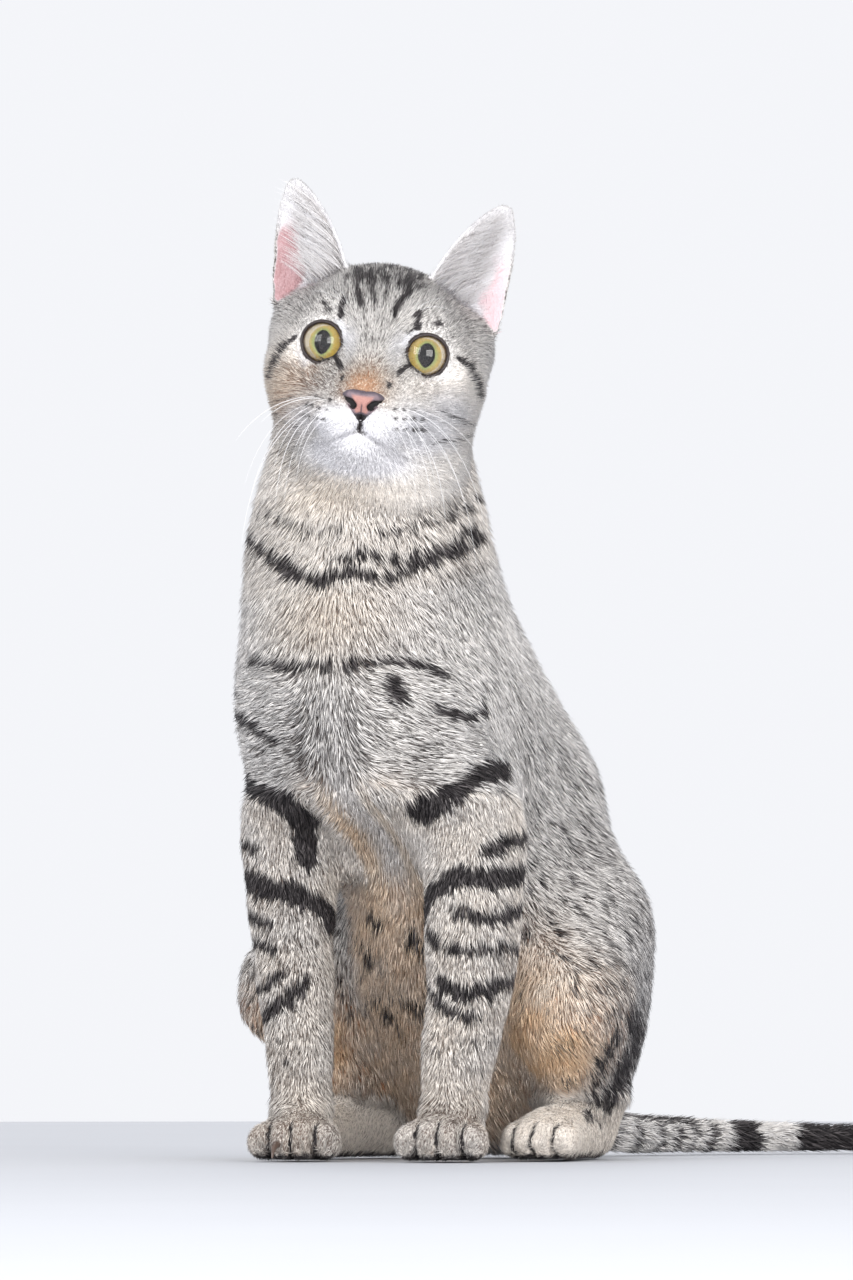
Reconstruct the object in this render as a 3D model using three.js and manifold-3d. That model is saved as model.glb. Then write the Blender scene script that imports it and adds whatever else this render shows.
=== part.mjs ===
// A seated short-haired young cat at life size: a still museum model with no joints.
//
// Millimetres, +Z up. The cat faces -Y, its own left side is +X, and it sits on z = 0.
// The body is described as rounded masses of muscle, bone and coat that flow into each other.
// Each named piece is meshed from those masses, then parted from its neighbours by thin flat cuts.
import * as THREE from "three";
import { mergeVertices } from "three/addons/utils/BufferGeometryUtils.js";
import Module from "manifold-3d";

const wasm = await Module();
wasm.setup();
const { Manifold, Mesh: SolidMesh } = wasm;

// ---------------------------------------------------------------- driving dimensions
const GAP = 0.35; // clear space between two neighbouring pieces
const LEFT = 1;
const RIGHT = -1;

const EYE_RADIUS = 10.5;
const EYE_APART = 18.5; // from the middle of the face to each eye's centre
const EYE_OPENING = 8.3; // radius of the ring of the eyelids
const EYE_TURN = 12; // degrees that each eye's lid ring faces outwards

const HEAD_AT = [9.8, -9.5, 307.8]; // the point midway between the eyes' centres
const HEAD_YAW = 27; // degrees that the head looks to the cat's left
const HEAD_PITCH = 5; // degrees downwards
const HEAD_ROLL = 7.7; // degrees that the left side of the head is lower

const EAR_FOOT = [26.5, 20, 7];
const EAR_TIP = [41.5, 24, 61.5];
const EAR_HALF_WIDTH = 18.8;
const EAR_DEPTH = 13;
const EAR_WALL = 2.6;

const CLAW_LENGTH = 9;
const CLAW_RADIUS = 1.5;

// How finely each region is meshed: the side of a cell of its grid.
const CELL = {
  head: 7.1,
  muzzle: 4.6,
  neck: 15.5,
  trunk: 17.4,
  foreleg: 12,
  thigh: 17.4,
  paw: 5.6,
  foot: 7.8,
};

// ---------------------------------------------------------------- small helpers
const vec = (p) => new THREE.Vector3(...p);
const radians = THREE.MathUtils.degToRad;
const mix = THREE.MathUtils.lerp;

// A turn by three angles in degrees, applied about X first, then Y, then Z.
function turned(x, y, z) {
  return new THREE.Quaternion().setFromEuler(
    new THREE.Euler(radians(x), radians(y), radians(z), "ZYX"),
  );
}

function placement(at, turn) {
  return new THREE.Matrix4().compose(vec(at), turn, new THREE.Vector3(1, 1, 1));
}

// ---------------------------------------------------------------- masses of the body
// A mass is a function of a point that is negative inside and about the distance outside.

function ellipsoid(centre, [rx, ry, rz], turn = turned(0, 0, 0)) {
  const e = placement(centre, turn).invert().elements;
  return (x, y, z) => {
    const px = e[0] * x + e[4] * y + e[8] * z + e[12];
    const py = e[1] * x + e[5] * y + e[9] * z + e[13];
    const pz = e[2] * x + e[6] * y + e[10] * z + e[14];
    const near = Math.hypot(px / rx, py / ry, pz / rz);
    const slope = Math.hypot(px / (rx * rx), py / (ry * ry), pz / (rz * rz));
    return slope > 1e-9 ? (near * (near - 1)) / slope : -Math.min(rx, ry, rz);
  };
}

// A tapered rod with round ends, from [x, y, z, radius] to [x, y, z, radius].
function rod([ax, ay, az, ra], [bx, by, bz, rb]) {
  const [dx, dy, dz] = [bx - ax, by - ay, bz - az];
  const square = dx * dx + dy * dy + dz * dz;
  return (x, y, z) => {
    const along = ((x - ax) * dx + (y - ay) * dy + (z - az) * dz) / square;
    const t = Math.min(1, Math.max(0, along));
    const away = Math.hypot(x - ax - t * dx, y - ay - t * dy, z - az - t * dz);
    return away - mix(ra, rb, t);
  };
}

// Masses joined with a soft fillet of about that size.
function blend(fillet, ...masses) {
  return (x, y, z) => {
    let found = masses[0](x, y, z);
    for (let i = 1; i < masses.length; i++) {
      const other = masses[i](x, y, z);
      const near = Math.max(fillet - Math.abs(found - other), 0);
      found = Math.min(found, other) - (near * near) / (4 * fillet);
    }
    return found;
  };
}

// A limb through a row of joints, each [x, y, z, radius].
function limb(fillet, joints) {
  return blend(
    fillet,
    ...joints.slice(1).map((joint, i) => rod(joints[i], joint)),
  );
}

// A mass that is described in a frame of its own.
function inFrame(matrix, mass) {
  const e = matrix.clone().invert().elements;
  return (x, y, z) =>
    mass(
      e[0] * x + e[4] * y + e[8] * z + e[12],
      e[1] * x + e[5] * y + e[9] * z + e[13],
      e[2] * x + e[6] * y + e[10] * z + e[14],
    );
}

const bothSides = (mass) => (x, y, z) => mass(Math.abs(x), y, z);
const fatter = (mass, by) => (x, y, z) => mass(x, y, z) - by;

// ---------------------------------------------------------------- trunk and neck
const thorax = ellipsoid([0, 34, 170], [51, 49, 76], turned(25, 0, 0));
const belly = ellipsoid([0, 84, 96], [51, 57, 74], turned(20, 0, 0));
const rump = ellipsoid([0, 110, 60], [57, 52, 63]);
const breast = ellipsoid([-3, -5, 185], [45.5, 33.5, 57]);
const withers = rod([1, 38, 212, 31], [2, 96, 137, 46]);
const trunkCore = blend(16, thorax, belly, rump, breast, withers);

const throat = ellipsoid([-4, 8, 221], [52, 42, 86]);
const nape = rod([-2, 18, 222, 37], [-7, 17, 285, 29]);
const neckMass = blend(14, throat, nape);

// ---------------------------------------------------------------- limbs
// Each side has its own joints, because the cat doesn't sit quite evenly.
const FORELEG = {
  [LEFT]: [
    [18, 30, 215, 18],
    [28, 2, 170, 25],
    [37, 18, 122, 20],
    [40, 12, 98, 18.2],
    [40.5, 10, 80, 17.3],
    [40, 9, 62, 15],
    [37, 6, 42, 14.2],
    [36, 4, 22, 13.4],
  ],
  [RIGHT]: [
    [-22, 30, 213, 19],
    [-30.5, 0, 172, 24.5],
    [-40.5, 13, 122, 19.2],
    [-38, 8, 98, 16.8],
    [-33.5, 4, 66, 14.8],
    [-29, 0, 42, 13],
    [-26.5, -3, 22, 12.8],
  ],
};
const FOREPAW = {
  [LEFT]: { at: [36, 3, 0], heading: 17 },
  [RIGHT]: { at: [-25, -5, 0], heading: 21 },
};
const HIND_LEG = {
  [LEFT]: {
    hip: [34, 101, 92, 33],
    knee: [60, 56, 60, 20],
    hock: [44, 99, 24, 12],
    toes: [57, 42, 10, 12],
  },
  [RIGHT]: {
    hip: [-34, 101, 92, 33],
    knee: [-64, 51, 66, 21],
    hock: [-44, 99, 24, 12],
    toes: [-49, 50, 10, 12],
  },
};
const HIND_HEADING = { [LEFT]: 9, [RIGHT]: -3 };

// A paw rests on the floor below its wrist: a broad pad, then four toes in an arc.
function paw(at, heading, [width, length, height], spread) {
  const palm = ellipsoid([0, -0.45 * length, 8.5], [width, length, height]);
  const toes = [-1.5, -0.5, 0.5, 1.5].map((place) => {
    const outer = Math.abs(place) > 1;
    return ellipsoid(
      [place * spread, -(outer ? 0.98 : 1.26) * length, 7.6],
      [spread * 0.64, 9.2, outer ? 7.8 : 8.4],
      turned(-8, 0, place * 5),
    );
  });
  return inFrame(
    placement(at, turned(0, 0, heading)),
    blend(4, palm, blend(1.5, ...toes)),
  );
}

const upperArmMass = (side) => limb(8, FORELEG[side].slice(0, 3));
const forearmMass = (side) => limb(8, FORELEG[side].slice(2));
const forepawMass = (side) =>
  paw(FOREPAW[side].at, FOREPAW[side].heading, [15, 17.5, 11.5], 8.8);

function hindLegMass(side) {
  const { hip, knee, hock } = HIND_LEG[side];
  const thigh = ellipsoid([side * 42, 88, 66], [21, 46, 48]);
  return blend(18, rod(hip, knee), thigh, rod(knee, hock));
}

function hindFootMass(side) {
  const { hock, toes } = HIND_LEG[side];
  const heel = [hock[0], hock[1] - 4, 11, 12.5];
  const front = paw(
    [toes[0], toes[1] + 2, 0],
    HIND_HEADING[side],
    [13.5, 17, 11],
    8,
  );
  return blend(5, rod(heel, toes), front);
}

// ---------------------------------------------------------------- tail
// The tail lies straight behind the rump and drifts to the cat's left.
const TAIL_PATH = [
  [0, 136, 36],
  [1, 160, 20],
  [4, 186, 10.5],
  [11, 220, 8.6],
  [26, 258, 7.6],
  [49, 292, 7],
  [78, 319, 6.6],
  [104, 334, 6.2],
];
const TAIL_BASE_RADIUS = 12.5;
const TAIL_TIP_RADIUS = 5.8;
const TAIL_RINGS = 18;
const TAIL_SIDES = 10;
const TAIL_CUTS = [0.45, 0.73]; // where the tail is parted into three lengths
const tailLine = new THREE.CatmullRomCurve3(TAIL_PATH.map(vec));
const tailRadius = (t) =>
  mix(TAIL_BASE_RADIUS, TAIL_TIP_RADIUS, Math.pow(t, 0.55));

// ---------------------------------------------------------------- head
// In the head's own frame x is to the cat's left, y to the back of the head and z up.
const headFrame = placement(
  HEAD_AT,
  turned(0, 0, HEAD_YAW).multiply(turned(HEAD_PITCH, HEAD_ROLL, 0)),
);
const cranium = ellipsoid([0, 25, 6], [34.5, 36, 28.5]);
const brow = bothSides(ellipsoid([12, 2, 15], [15, 15, 11], turned(28, 0, 0)));
const cheek = bothSides(ellipsoid([22, 14, -11], [21.5, 25, 21]));
const jaw = bothSides(rod([19, 18, -28, 15.5], [6, -8, -33.5, 10.5]));
const bridge = rod([0, 2, 11, 13.5], [0, -25, -15.5, 8.2]);
const whiskerPad = bothSides(
  ellipsoid([9.2, -21.5, -26.5], [12.4, 12.4, 9.4], turned(0, 0, 12)),
);
const chin = ellipsoid([0, -18, -36.5], [13, 12.5, 8.8]);
const noseTip = ellipsoid([0, -29.5, -18.5], [7.6, 6.2, 6.4]);
const earRoot = bothSides(ellipsoid([29, 30, 5], [15.5, 14, 14]));
const cheekbone = bothSides(rod([11, -10, -20, 11.5], [21, 5, -13, 14]));
const lidMound = bothSides(
  ellipsoid([EYE_APART, 0, 0], [12.4, 11.9, 12.2]),
);
const headMass = inFrame(
  headFrame,
  blend(
    7,
    blend(12, cranium, cheek, jaw, earRoot),
    blend(8, brow, bridge, cheekbone),
    blend(4, blend(5, whiskerPad, chin), noseTip),
    lidMound,
  ),
);

// ---------------------------------------------------------------- the whole body
const trunkAndNeck = blend(14, trunkCore, neckMass);
const upperArms = { [LEFT]: upperArmMass(LEFT), [RIGHT]: upperArmMass(RIGHT) };
const hindLegs = { [LEFT]: hindLegMass(LEFT), [RIGHT]: hindLegMass(RIGHT) };
const trunkWithShoulders = blend(
  11,
  trunkAndNeck,
  upperArms[LEFT],
  upperArms[RIGHT],
);
const wholeTrunk = blend(
  9,
  trunkWithShoulders,
  hindLegs[LEFT],
  hindLegs[RIGHT],
);
const headAndNeck = blend(10, headMass, wholeTrunk);

// ---------------------------------------------------------------- meshing a mass
const AXES = [
  [1, 0, 0],
  [0, 1, 0],
  [0, 0, 1],
];

// Where only two opposite corners of a cell's side are inside, two sheets of surface would
// meet in one edge. The outer corner that is nearest to the mass is filled in instead.
function fillPinches(values, [nx, ny, nz], at) {
  let filled = 0;
  for (let k = 0; k < nz - 1; k++)
    for (let j = 0; j < ny - 1; j++)
      for (let i = 0; i < nx - 1; i++)
        for (let d = 0; d < 3; d++) {
          const [u, v] = [AXES[(d + 1) % 3], AXES[(d + 2) % 3]];
          const side = [
            [0, 0],
            [1, 0],
            [1, 1],
            [0, 1],
          ].map(([s, t]) =>
            at(i + s * u[0] + t * v[0], j + s * u[1] + t * v[1], k + s * u[2] + t * v[2]),
          );
          const [a, b, c, e] = side.map((corner) => values[corner] < 0);
          if (a !== c || b !== e || a === b) continue;
          const outer = a ? [side[1], side[3]] : [side[0], side[2]];
          const nearest = values[outer[0]] < values[outer[1]] ? outer[0] : outer[1];
          values[nearest] = -0.01;
          filled++;
        }
  if (filled) fillPinches(values, [nx, ny, nz], at);
}

// Surface nets: a vertex for each cell that the surface crosses, a face for each grid edge.
function surfaceOf(mass, low, high, cell) {
  const count = low.map((l, i) => Math.ceil((high[i] - l) / cell) + 1);
  const [nx, ny, nz] = count;
  const at = (i, j, k) => (k * ny + j) * nx + i;
  const values = new Float32Array(nx * ny * nz);
  for (let k = 0; k < nz; k++)
    for (let j = 0; j < ny; j++)
      for (let i = 0; i < nx; i++) {
        const edge =
          i * j * k === 0 || i === nx - 1 || j === ny - 1 || k === nz - 1;
        const value = mass(
          low[0] + i * cell,
          low[1] + j * cell,
          low[2] + k * cell,
        );
        values[at(i, j, k)] = edge ? Math.max(value, 0.5 * cell) : value;
      }

  fillPinches(values, count, at);

  const corners = [];
  for (let c = 0; c < 8; c++) corners.push([c & 1, (c >> 1) & 1, (c >> 2) & 1]);
  const cellEdges = [];
  for (let a = 0; a < 8; a++)
    for (const bit of [1, 2, 4]) if (!(a & bit)) cellEdges.push([a, a | bit]);

  const vertexOf = new Map();
  const positions = [];
  for (let k = 0; k < nz - 1; k++)
    for (let j = 0; j < ny - 1; j++)
      for (let i = 0; i < nx - 1; i++) {
        const value = corners.map(([x, y, z]) => values[at(i + x, j + y, k + z)]);
        const sum = [0, 0, 0];
        let crossings = 0;
        for (const [a, b] of cellEdges) {
          if (value[a] < 0 === value[b] < 0) continue;
          const t = value[a] / (value[a] - value[b]);
          for (let d = 0; d < 3; d++)
            sum[d] += mix(corners[a][d], corners[b][d], t);
          crossings++;
        }
        if (!crossings) continue;
        const inner = [i, j, k].every((n, d) => n > 0 && n < count[d] - 2);
        const start = [i, j, k].map(
          (n, d) => low[d] + (n + sum[d] / crossings) * cell,
        );
        vertexOf.set(at(i, j, k), positions.length / 3);
        positions.push(...(inner ? ontoSurface(mass, start, 0.4 * cell) : start));
      }

  const index = [];
  for (let k = 0; k < nz - 1; k++)
    for (let j = 0; j < ny - 1; j++)
      for (let i = 0; i < nx - 1; i++)
        for (let d = 0; d < 3; d++) {
          const [u, v] = [AXES[(d + 1) % 3], AXES[(d + 2) % 3]];
          const here = values[at(i, j, k)] < 0;
          const [x, y, z] = AXES[d];
          if (here === values[at(i + x, j + y, k + z)] < 0) continue;
          const around = [
            [0, 0],
            [1, 0],
            [1, 1],
            [0, 1],
          ].map(([s, t]) =>
            vertexOf.get(
              at(
                i - s * u[0] - t * v[0],
                j - s * u[1] - t * v[1],
                k - s * u[2] - t * v[2],
              ),
            ),
          );
          const [a, b, c, e] = here ? around : around.reverse();
          index.push(...shorterSplit(positions, a, b, c, e));
        }
  return new THREE.BufferGeometry()
    .setAttribute("position", new THREE.Float32BufferAttribute(positions, 3))
    .setIndex(index);
}

// Moves a point along the mass's slope until it lies on the surface, no further than far.
function ontoSurface(mass, start, far) {
  const step = 0.05;
  let [x, y, z] = start;
  for (let round = 0; round < 3; round++) {
    const value = mass(x, y, z);
    const gx = (mass(x + step, y, z) - mass(x - step, y, z)) / (2 * step);
    const gy = (mass(x, y + step, z) - mass(x, y - step, z)) / (2 * step);
    const gz = (mass(x, y, z + step) - mass(x, y, z - step)) / (2 * step);
    const square = Math.max(gx * gx + gy * gy + gz * gz, 0.05);
    x -= (value * gx) / square;
    y -= (value * gy) / square;
    z -= (value * gz) / square;
  }
  const clamp = (now, from) => Math.min(from + far, Math.max(from - far, now));
  return [clamp(x, start[0]), clamp(y, start[1]), clamp(z, start[2])];
}

// Two triangles for a four-sided face, cut along its shorter diagonal.
function shorterSplit(positions, a, b, c, d) {
  const gap = (m, n) =>
    Math.hypot(...[0, 1, 2].map((i) => positions[3 * m + i] - positions[3 * n + i]));
  return gap(a, c) < gap(b, d) ? [a, b, c, a, c, d] : [a, b, d, b, c, d];
}

// ---------------------------------------------------------------- solids and cuts
function solidOf(geometry) {
  const bare = geometry.clone();
  for (const name of ["normal", "uv"]) bare.deleteAttribute(name);
  const merged = mergeVertices(bare, 1e-3);
  return new Manifold(
    new SolidMesh({
      numProp: 3,
      vertProperties: new Float32Array(merged.attributes.position.array),
      triVerts: new Uint32Array(merged.index.array),
    }),
  );
}

function box([x0, x1], [y0, y1], [z0, z1]) {
  const made = new THREE.BoxGeometry(x1 - x0, y1 - y0, z1 - z0);
  made.translate((x0 + x1) / 2, (y0 + y1) / 2, (z0 + z1) / 2);
  return solidOf(made);
}

// All space on the side of a plane that its normal points away from.
function behind(point, normal, offset = 0) {
  const size = 900;
  const made = new THREE.BoxGeometry(size, size, size);
  made.translate(0, 0, -size / 2);
  const turn = new THREE.Quaternion().setFromUnitVectors(
    new THREE.Vector3(0, 0, 1),
    normal,
  );
  made.applyQuaternion(turn);
  made.translate(...point.clone().addScaledVector(normal, offset).toArray());
  return solidOf(made);
}

const grown = ([low, high], by) => [low - by, high + by];
const biggest = (solid) =>
  solid.decompose().sort((a, b) => b.volume() - a.volume())[0];

// Rings of points joined into a closed skin, with flat ends.
function loft(rings) {
  const sides = rings[0].length;
  const positions = rings.flat().flatMap((p) => p.toArray());
  const index = [];
  rings.slice(1).forEach((_, r) => {
    for (let s = 0; s < sides; s++) {
      const [a, b] = [r * sides + s, r * sides + ((s + 1) % sides)];
      index.push(a, b, b + sides, a, b + sides, a + sides);
    }
  });
  return { positions, index, sides, last: (rings.length - 1) * sides };
}

function geometryOf({ positions, index }) {
  return new THREE.BufferGeometry()
    .setAttribute("position", new THREE.Float32BufferAttribute(positions, 3))
    .setIndex(index);
}

// A tube along a line, with a radius for each place on it and a fan at both ends.
function tube(line, radiusAt, rings, sides) {
  const frames = line.computeFrenetFrames(rings, false);
  const made = loft(
    Array.from({ length: rings + 1 }, (_, r) => {
      const centre = line.getPointAt(r / rings);
      return Array.from({ length: sides }, (_, s) => {
        const angle = (2 * Math.PI * s) / sides;
        const reach = radiusAt(r / rings);
        return centre
          .clone()
          .addScaledVector(frames.normals[r], Math.cos(angle) * reach)
          .addScaledVector(frames.binormals[r], Math.sin(angle) * reach);
      });
    }),
  );
  for (let s = 1; s < sides - 1; s++)
    made.index.push(0, s + 1, s, made.last, made.last + s, made.last + s + 1);
  return geometryOf(made);
}

// ---------------------------------------------------------------- the regions of the pieces
const headNeckNormal = vec([0, 0.581, -0.814]).transformDirection(headFrame);
const headNeckPoint = vec([0, -6, -45]).applyMatrix4(headFrame);
const neckTrunkNormal = vec([0, 0.3, -1]).normalize();
const neckTrunkPoint = vec([0, 17, 226]);

const FLOOR = box([-300, 300], [-300, 500], [0, 500]);
const FOREPAW_TOP = 22;
const ELBOW_LOW = 106;
const FORELEG_TOP = 139;
const HIND_FOOT_TOP = 25;
const THIGH_TOP = 134;
const LEG_BACK = 33;
const acrossFrom = (side, near, far) => (side === LEFT ? [near, far] : [-far, -near]);

const elbowRegion = (side) => [
  acrossFrom(side, 12, 90),
  [-60, LEG_BACK],
  [ELBOW_LOW, FORELEG_TOP],
];
const forearmRegion = (side) => [
  acrossFrom(side, 2, 90),
  [-60, LEG_BACK],
  [FOREPAW_TOP, ELBOW_LOW + 10],
];
const forepawRegion = (side) => [
  acrossFrom(side, 0, 75),
  [-60, 50],
  [-5, FOREPAW_TOP],
];
const thighRegion = (side) => [
  acrossFrom(side, 30, 120),
  [LEG_BACK, 200],
  [HIND_FOOT_TOP, THIGH_TOP],
];
const hindFootRegion = (side) => [
  acrossFrom(side, 30, 120),
  [-20, 200],
  [-5, HIND_FOOT_TOP],
];
const regionSolid = (region, by) => box(...region.map((span) => grown(span, by)));

// A piece: its mass meshed a little past its region, then cut to it and to the floor.
function piece(mass, region, cell) {
  const low = region.map(([l]) => l - 1.5 * cell);
  const high = region.map(([, h]) => h + 1.5 * cell);
  return solidOf(surfaceOf(mass, low, high, cell))
    .intersect(regionSolid(region, -GAP / 2))
    .intersect(FLOOR);
}

// ---------------------------------------------------------------- pieces of flesh
const solids = {};
const sideName = { [LEFT]: "left", [RIGHT]: "right" };

for (const side of [LEFT, RIGHT]) {
  const name = sideName[side];
  const foreleg = limb(8, FORELEG[side]);
  const lowerLeg = blend(5, blend(11, breast, foreleg), forepawMass(side));
  const armAndBody = blend(11, trunkAndNeck, foreleg);
  const thighAndBody = blend(9, trunkCore, hindLegs[side]);
  const footAndLeg = blend(5, blend(9, rump, hindLegs[side]), hindFootMass(side));
  solids[`foreleg_${name}`] = piece(armAndBody, elbowRegion(side), CELL.foreleg).add(
    piece(lowerLeg, forearmRegion(side), CELL.foreleg),
  );
  solids[`forepaw_${name}`] = piece(lowerLeg, forepawRegion(side), CELL.paw);
  solids[`thigh_${name}`] = piece(
    blend(5, thighAndBody, hindFootMass(side)),
    thighRegion(side),
    CELL.thigh,
  );
  solids[`hind_foot_${name}`] = biggest(
    piece(footAndLeg, hindFootRegion(side), CELL.foot),
  );
}

// The room that the trunk leaves for a forearm that comes close to it.
function forearmSpace(side) {
  const margin = GAP + 2;
  const ends = [
    [side * 38 - 32, -25, 0],
    [side * 38 + 32, 50, ELBOW_LOW + 2 * CELL.foreleg],
  ];
  return solidOf(surfaceOf(fatter(forearmMass(side), margin), ...ends, CELL.foreleg));
}

function trunk() {
  const bounds = [
    [-95, 95],
    [-62, 190],
    [-6, 262],
  ];
  let made = piece(wholeTrunk, bounds, CELL.trunk).intersect(
    behind(neckTrunkPoint, neckTrunkNormal.clone().negate(), -GAP / 2),
  );
  for (const side of [LEFT, RIGHT])
    for (const region of [elbowRegion(side), thighRegion(side), hindFootRegion(side)])
      made = made.subtract(regionSolid(region, GAP / 2));
  for (const side of [LEFT, RIGHT]) made = made.subtract(forearmSpace(side));
  return biggest(made.subtract(tail(GAP)));
}

function neck() {
  const bounds = [
    [-75, 75],
    [-75, 90],
    [196, 330],
  ];
  return biggest(
    piece(headAndNeck, bounds, CELL.neck)
      .intersect(behind(neckTrunkPoint, neckTrunkNormal, -GAP / 2))
      .intersect(behind(headNeckPoint, headNeckNormal.clone().negate(), -GAP / 2)),
  );
}

// ---------------------------------------------------------------- tail in three lengths
// The whole tail, grown by a margin; its front end is buried in the rump.
function tail(margin) {
  const roundEnd = (t) => Math.sqrt(Math.max(0.02, 1 - Math.max(0, (t - 0.965) / 0.035) ** 2));
  const radius = (t) => tailRadius(t) * roundEnd(t) + margin;
  return solidOf(tube(tailLine, radius, TAIL_RINGS, TAIL_SIDES)).intersect(FLOOR);
}

function tailPieces() {
  const plane = (t, offset) =>
    behind(tailLine.getPointAt(t), tailLine.getTangentAt(t), offset);
  const [first, second] = TAIL_CUTS;
  const beyond = (t) => tail(0).subtract(plane(t, GAP / 2));
  return {
    tail_base: tail(0).intersect(plane(first, -GAP / 2)),
    tail_middle: beyond(first).intersect(plane(second, -GAP / 2)),
    tail_tip: beyond(second),
  };
}

// ---------------------------------------------------------------- head, eyes, nose and ears
const eyeTurn = (side) => turned(0, 0, side * EYE_TURN);

function eyeball(side, radius) {
  return solidOf(
    new THREE.IcosahedronGeometry(radius, 2)
      .translate(side * EYE_APART, 0, 0)
      .applyMatrix4(headFrame),
  );
}

// The round opening between the lids, straight out of the eye's centre.
function lidOpening(side) {
  const made = new THREE.CylinderGeometry(EYE_OPENING, EYE_OPENING, 30, 24);
  made.translate(0, -15, 0); // a cylinder's axis is already along y
  made.applyQuaternion(eyeTurn(side));
  made.translate(side * EYE_APART, 0, 0);
  return solidOf(made.applyMatrix4(headFrame));
}

// The nose leather's outline from the front, grown by a margin, cut straight back.
function noseCutter(margin) {
  const half = 7.2 + margin;
  const top = -14.4 + margin;
  const foot = -26.8 - margin;
  const outline = new THREE.Shape()
    .moveTo(0, top)
    .bezierCurveTo(half * 0.6, top + 0.4, half, top - 1, half, top - 3.6)
    .bezierCurveTo(half, top - 6.4, half * 0.3, foot + 3, 0, foot)
    .bezierCurveTo(-half * 0.3, foot + 3, -half, top - 6.4, -half, top - 3.6)
    .bezierCurveTo(-half, top - 1, -half * 0.6, top + 0.4, 0, top);
  const made = new THREE.ExtrudeGeometry(outline, {
    depth: 14 + margin,
    bevelEnabled: false,
    curveSegments: 3,
  });
  made.rotateX(Math.PI / 2); // the outline's y becomes up, and the depth runs forwards
  made.translate(0, -27 + margin, 0);
  return solidOf(made.applyMatrix4(headFrame));
}

function headSolid(extra, cell) {
  const [cx, cy, cz] = HEAD_AT;
  const reach = 66;
  const bounds = [
    [cx - reach, cx + reach],
    [cy - reach, cy + reach + 24],
    [cz - reach, cz + reach - 18],
  ];
  return piece(fatter(headAndNeck, extra), bounds, cell).intersect(
    behind(headNeckPoint, headNeckNormal, extra - GAP / 2),
  );
}

// The space of the muzzle below the eyes, in front of the cheeks, grown by a margin.
function muzzleSpace(margin) {
  const [width, depth, height] = [48, 50, 40].map((side) => side + 2 * margin);
  const made = new THREE.BoxGeometry(width, depth, height).translate(0, -30, -29.6);
  return solidOf(made.applyMatrix4(headFrame));
}

// One ear: a deep cup at its foot, flatter towards a blunt tip, open to the front.
function ear(side) {
  const mirror = new THREE.Vector3(side, 1, 1);
  const foot = vec(EAR_FOOT).multiply(mirror);
  const tip = vec(EAR_TIP).multiply(mirror);
  const bend = foot.clone().lerp(tip, 0.5).add(vec([side * -2.4, 0, 0]));
  const spine = new THREE.QuadraticBezierCurve3(foot, bend, tip);
  const front = vec([side * 0.42, -0.9, 0.05]).normalize();
  const across = front.clone().cross(tip.clone().sub(foot)).normalize();
  const rings = 8;
  const steps = 6;
  const made = loft(
    Array.from({ length: rings + 1 }, (_, r) => {
      const t = r / rings;
      const width = Math.max(2.4, EAR_HALF_WIDTH * (1 - t * t) ** 0.6);
      const depth = EAR_DEPTH * (1 - t) ** 0.8 + 0.8;
      const wall = mix(EAR_WALL + 1, EAR_WALL - 0.4, t);
      const centre = spine.getPoint(t);
      const at = (s, forward) =>
        centre
          .clone()
          .addScaledVector(across, width * s)
          .addScaledVector(front, forward - depth * (1 - s * s));
      const spans = Array.from({ length: steps + 1 }, (_, i) => (2 * i) / steps - 1);
      const back = spans.map((s) => at(s, 0));
      const inside = spans.map((s) => at(s * 0.93, wall * (1.15 - 0.5 * s * s)));
      return [...back, ...inside.reverse()];
    }),
  );
  const last = made.sides - 1;
  for (let s = 0; s < steps; s++) {
    const [a, b, c, d] = [s, s + 1, last - s - 1, last - s];
    made.index.push(a, d, c, a, c, b);
    const [e, f, g, h] = [a, b, c, d].map((n) => n + made.last);
    made.index.push(e, g, h, e, f, g);
  }
  return geometryOf(made).applyMatrix4(headFrame);
}

function headPieces() {
  let head = headSolid(0, CELL.head);
  const aroundHead = headSolid(GAP, CELL.head);
  const snout = headSolid(0, CELL.muzzle).intersect(muzzleSpace(-GAP / 2));
  const found = {};
  for (const side of [LEFT, RIGHT]) {
    const name = sideName[side];
    head = head.subtract(eyeball(side, EYE_RADIUS + GAP)).subtract(lidOpening(side));
    found[`eye_${name}`] = eyeball(side, EYE_RADIUS);
    found[`ear_${name}`] = biggest(solidOf(ear(side)).subtract(aroundHead));
  }
  found.nose = biggest(snout.intersect(noseCutter(0)));
  found.muzzle = biggest(snout.subtract(noseCutter(GAP)));
  found.head = biggest(head.subtract(muzzleSpace(GAP / 2)));
  return found;
}

// ---------------------------------------------------------------- the one claw that shows
// It comes out of a toe of the right forepaw and curves down to the floor.
function claw(margin) {
  const { at, heading } = FOREPAW[RIGHT];
  const line = new THREE.CatmullRomCurve3([
    vec([-4.6, -28.5, 6.6]),
    vec([-4.8, -31.2, 6.4]),
    vec([-5, -31.2 - CLAW_LENGTH * 0.35, 4.6]),
    vec([-5.2, -31.2 - CLAW_LENGTH * 0.5, 1.6]),
  ]);
  const taper = (t) => (CLAW_RADIUS + margin) * (1 - 0.8 * t ** 1.4);
  return solidOf(
    tube(line, taper, 5, 7).applyMatrix4(placement(at, turned(0, 0, heading))),
  );
}

Object.assign(solids, { trunk: trunk(), neck: neck() }, tailPieces(), headPieces());
solids.claw = claw(0);
solids.forepaw_right = solids.forepaw_right.subtract(claw(GAP));

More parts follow.
